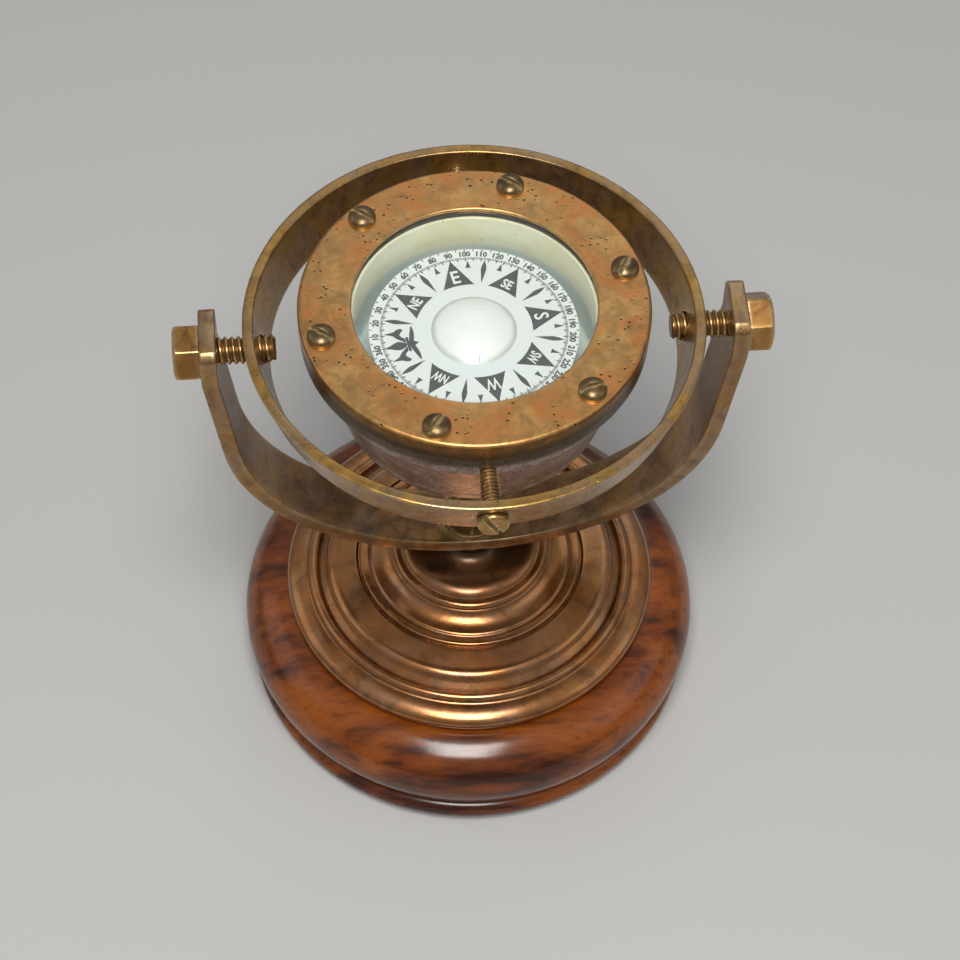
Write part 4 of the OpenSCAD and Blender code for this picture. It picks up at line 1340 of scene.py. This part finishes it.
# %% Turn the float
CARD_UP, CARD_T, DOME_R, DOME_H = 0.4, 0.6, 9.1, 2.6
SIDE_UNDER = CARD_UP - CARD_T - 1.4
BALL = (DOME_R**2 + DOME_H**2) / (2 * DOME_H)
BALL_UP = CARD_UP + DOME_H - BALL
SCRATCH_RUN, SCRATCH_SIDES, SCRATCH_LIFT = np.linspace(7.4, 8.9, 7), (0.42, 0.54), 0.012
float_outline = (
    arc(0, BALL_UP, BALL, BALL, 90, 90 - math.degrees(math.asin(DOME_R / BALL)), 24)
    + [(DOME_R - 0.1, CARD_UP), (5, CARD_UP), (5, CARD_UP - CARD_T), (9, CARD_UP - CARD_T)]
    + arc(6, SIDE_UNDER, 3, 4.2 + SIDE_UNDER, 0, -75, 10)
    + [(6, -5), (2, -5), (2, -1), (0, -1)]
)
milky_float = turned("milky_float", float_outline, "milk", AXIS_Z, step=0.7, segments=128)
ready(milky_float, "card", "float", "float", crisp=50)


def on_dome(x, y):
    """Point just over the skin of the dome, in metres."""
    return x * MM, y * MM, (AXIS_Z + BALL_UP + math.sqrt(BALL**2 - y**2) + SCRATCH_LIFT) * MM


scratch = blank("dome_scratch")
strips = [(2 * k + 2, 2 * k + 3, 2 * k + 1, 2 * k) for k in range(len(SCRATCH_RUN) - 1)]
scratch.data.from_pydata([on_dome(x, -r) for r in SCRATCH_RUN for x in SCRATCH_SIDES], [], strips)
scratch.data.materials.append(finishes["dark_ink"])
ready(scratch, "card", "float")

# %% [markdown]
# ## Printing the card, by Geometry Nodes
# A compass card is a set of rings of equal marks: degree ticks, small darts, long leaves and
# the eight point triangles. One tree prints them all. Its own geometry is a single flat mark
# drawn at north, and its inputs say how many stand round the card, where the first one goes
# and which ones are left out for a longer mark. Ink has a thickness of two hundredths of a
# millimetre, so that it lies on the card as a real layer.

# %% Ring of marks tree
INK_Z = AXIS_Z + CARD_UP
INK_T = 0.02
HEADING = 191.0


def ring_of_marks_tree():
    """Repeat one mark round the card, leaving out every one whose number fits Skip."""
    t = Tree("ring_of_marks", Count="Int", Start="Float", Skip="Int")
    number = t.out("GeometryNodeInputIndex")
    bearing = t["Start"] - number * (2 * math.pi) / t["Count"]
    points = t.out("GeometryNodePoints", {"Count": t["Count"]})
    kept_turn = {"Geometry": points, "Name": "turn", "Value": bearing}
    held = t.out("GeometryNodeStoreNamedAttribute", kept_turn, data_type="FLOAT", domain="POINT")
    left = t.calc("COMPARE", t.calc("MODULO", number, t.calc("MAXIMUM", t["Skip"], 1.0)), 0.0, 0.1)
    drop = left * t.calc("GREATER_THAN", t["Skip"], 0.5)
    kept = t.out("GeometryNodeDeleteGeometry", {"Geometry": held, "Selection": drop}, domain="POINT")
    way = t.out("GeometryNodeInputNamedAttribute", {"Name": "turn"}, data_type="FLOAT")
    spin = t.out("FunctionNodeEulerToRotation", {"Euler": t.out("ShaderNodeCombineXYZ", {"Z": way})})
    copies = {"Points": kept, "Instance": t["Geometry"], "Rotation": spin}
    return t.finish(t.out("GeometryNodeInstanceOnPoints", copies))


def inked(name, outlines, finish):
    """Flat prints from closed outlines, in mm, over the card's face."""
    piece = blank(name)
    with edited(piece.data) as work:
        for outline in outlines:
            face = work.faces.new([work.verts.new((x * MM, y * MM, INK_Z * MM)) for x, y in outline])
            grown = bmesh.ops.extrude_face_region(work, geom=[face])
            tops = [g for g in grown["geom"] if isinstance(g, bmesh.types.BMVert)]
            bmesh.ops.translate(work, verts=tops, vec=(0, 0, INK_T * MM))
        bmesh.ops.recalc_face_normals(work, faces=work.faces)
        bmesh.ops.triangulate(work, faces=[f for f in work.faces if len(f.verts) > 4])
    piece.data.materials.append(finishes[finish])
    return piece


def ring_of(name, outline, count, first=0.0, skip=0):
    """A ring of equal marks. An outline is drawn with +X outwards, and first is in degrees from north."""
    mark = inked(name, [outline], "dark_ink")
    start = math.radians(HEADING - first)
    return run_tree(mark, marks_tree, Count=count, Start=start, Skip=skip, Finish=finishes["dark_ink"])


def tick(inner, outer, width):
    """Straight mark from one radius to another."""
    return [(inner, -width / 2), (outer, -width / 2), (outer, width / 2), (inner, width / 2)]


marks_tree = ring_of_marks_tree()
leaf = [(12.9, 0), (14.8, -0.30), (16.8, -0.60), (18.0, -0.42), (19.35, 0), (18.0, 0.42), (16.8, 0.60), (14.8, 0.30)]
dart = [(17.1, -0.62), (17.6, -0.40), (19.2, 0), (17.6, 0.40), (17.1, 0.62)]
triangle = [spoke(12.5, a) for a in np.radians(np.linspace(15.8, -15.8, 9))] + [(19.45, 0)]
marks = joined(
    "printed_marks",
    ring_of("point_triangles", triangle, 8, 0, 8),
    ring_of("half_point_leaves", leaf, 8, 22.5),
    ring_of("quarter_point_darts", dart, 16, 11.25),
    ring_of("degree_ticks", tick(19.40, 20.0, 0.16), 360, 0, 5),
    ring_of("five_degree_ticks", tick(19.0, 20.0, 0.26), 72),
    ring_of("rim_ticks", tick(21.75, 22.2, 0.26), 72),
)
ready(marks, "card", "card")

# %% [markdown]
# ## North, letters and numbers
# North is an ornamental lily instead of a letter, as on most old cards. It is drawn as half
# outlines, smoothed and mirrored. The other points have white letters on their triangles,
# and every tenth degree has its number, all with their tops outwards. Letters are text
# objects made into meshes before they are put in place.

# %% Draw the lily and set the type
POINT_LETTERS = (
    ("E", 90, 14.7, 4.8, 0.85), ("S", 180, 14.7, 4.3, 0.90), ("W", 270, 14.6, 4.3, 0.66), ("NE", 45, 14.3, 3.3, 0.74),
    ("SE", 135, 14.3, 3.3, 0.76), ("SW", 225, 14.3, 3.2, 0.60), ("NW", 315, 14.3, 3.2, 0.58),
)
DEGREE_NUMBERS = [(str(n), n, 20.9, 1.85, 0.95) for n in range(10, 370, 10)]


def flowing(points, steps=4):
    """Smooth closed curve through the points."""
    done = []
    count = len(points)
    for i in range(count):
        a, b, c, d = (np.array(points[(i + k) % count]) for k in (-1, 0, 1, 2))
        for t in np.linspace(0, 1, steps, endpoint=False):
            curve = 2 * b + (c - a) * t + (2 * a - 5 * b + 4 * c - d) * t**2 + (3 * b - a - 3 * c + d) * t**3
            done.append(tuple(0.5 * curve))
    return done


def mirrored(points):
    """The same outline on the other side of the lily's middle."""
    return [(x, -y) for x, y in points[::-1]]


petal = [(19.4, 0), (18.2, 0.45), (17.1, 0.95), (16.2, 1.10), (15.4, 0.75), (14.8, 0.50), (14.7, 0)]
side_petal = [
    (14.75, 0.60), (15.7, 1.30), (16.7, 2.30), (16.9, 3.30), (16.2, 4.20), (15.1, 4.40), (14.7, 3.90), (15.2, 3.40),
    (15.6, 2.80), (15.3, 2.10), (14.8, 1.60),
]
foot_leaf = [(14.0, 0.50), (13.8, 1.70), (13.3, 3.20), (12.7, 4.60), (12.5, 3.20), (12.7, 1.80), (13.1, 0.70)]
foot_stem = [(14.05, 0.55), (13.2, 0.75), (12.1, 0.0), (13.2, -0.75), (14.05, -0.55)]
band = [(14.05, -1.90), (14.65, -1.90), (14.65, 1.90), (14.05, 1.90)]
lily_parts = [flowing(petal + mirrored(petal)[1:-1]), band, foot_stem]
for part in (side_petal, foot_leaf):
    lily_parts += [flowing(part), flowing(mirrored(part))]
lily = placed(inked("north_lily", lily_parts, "dark_ink"), turn(HEADING, "Z"))
ready(lily, "card", "card")


def word(name, text, size, bold, finish):
    """Raised text as a plain mesh, centred on its own width."""
    curve = bpy.data.curves.new(name, "FONT")
    curve.body, curve.size, curve.offset = text, size, bold
    curve.align_x = curve.align_y = "CENTER"
    curve.resolution_u = 3
    curve.extrude = INK_T / 2
    source = shown(name, curve)
    view = bpy.context.evaluated_depsgraph_get()
    mesh = bpy.data.meshes.new_from_object(source.evaluated_get(view), depsgraph=view)
    bpy.data.objects.remove(source)
    bpy.data.curves.remove(curve)
    mesh.materials.clear()
    mesh.materials.append(finishes[finish])
    mesh.transform(Matrix.Scale(MM, 4))
    places = [v.co.x for v in mesh.vertices]
    mesh.transform(Matrix.Translation((-(min(places) + max(places)) / 2, 0, 0)))
    return shown(name, mesh)


def lettering(name, words, finish, low, bold):
    """Words as (text, bearing from north, radius, size, share of width), tops outwards, in mm."""
    pieces = []
    for text, bearing, radius, size, share in words:
        there = turn(HEADING - bearing, "Z") @ shift(radius, 0, INK_Z + low + INK_T / 2)
        narrow = Matrix.Diagonal((share, 1, 1, 1))
        pieces.append(placed(word(name, text, size, bold, finish), there @ turn(-90, "Z") @ narrow))
    ready(joined(name, *pieces), "card", "card")


lettering("point_letters", POINT_LETTERS, "white_ink", INK_T, 0.09)
lettering("degree_numbers", DEGREE_NUMBERS, "dark_ink", 0.0, 0.08)

# %% [markdown]
# ## Finishes for the pieces that stay as they were engineered
# The felt pad, the hidden washer, the ballast, the post, the magnets, the jewel and the card
# blank have the right shape already, so they keep it and only get their finish.

# %% Finish the engineered pieces
kept = {
    "felt_pad": "felt",
    "base_washer": "screw",
    "ballast": "lead",
    "pivot_post": "steel",
    "magnets": "magnet",
    "jewel_cup": "jewel",
    "compass_card": "card",
}
for node, finish in kept.items():
    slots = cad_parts[node].data.materials
    slots.clear()
    slots.append(finishes[finish])
print("kept as engineered:", ", ".join(kept))
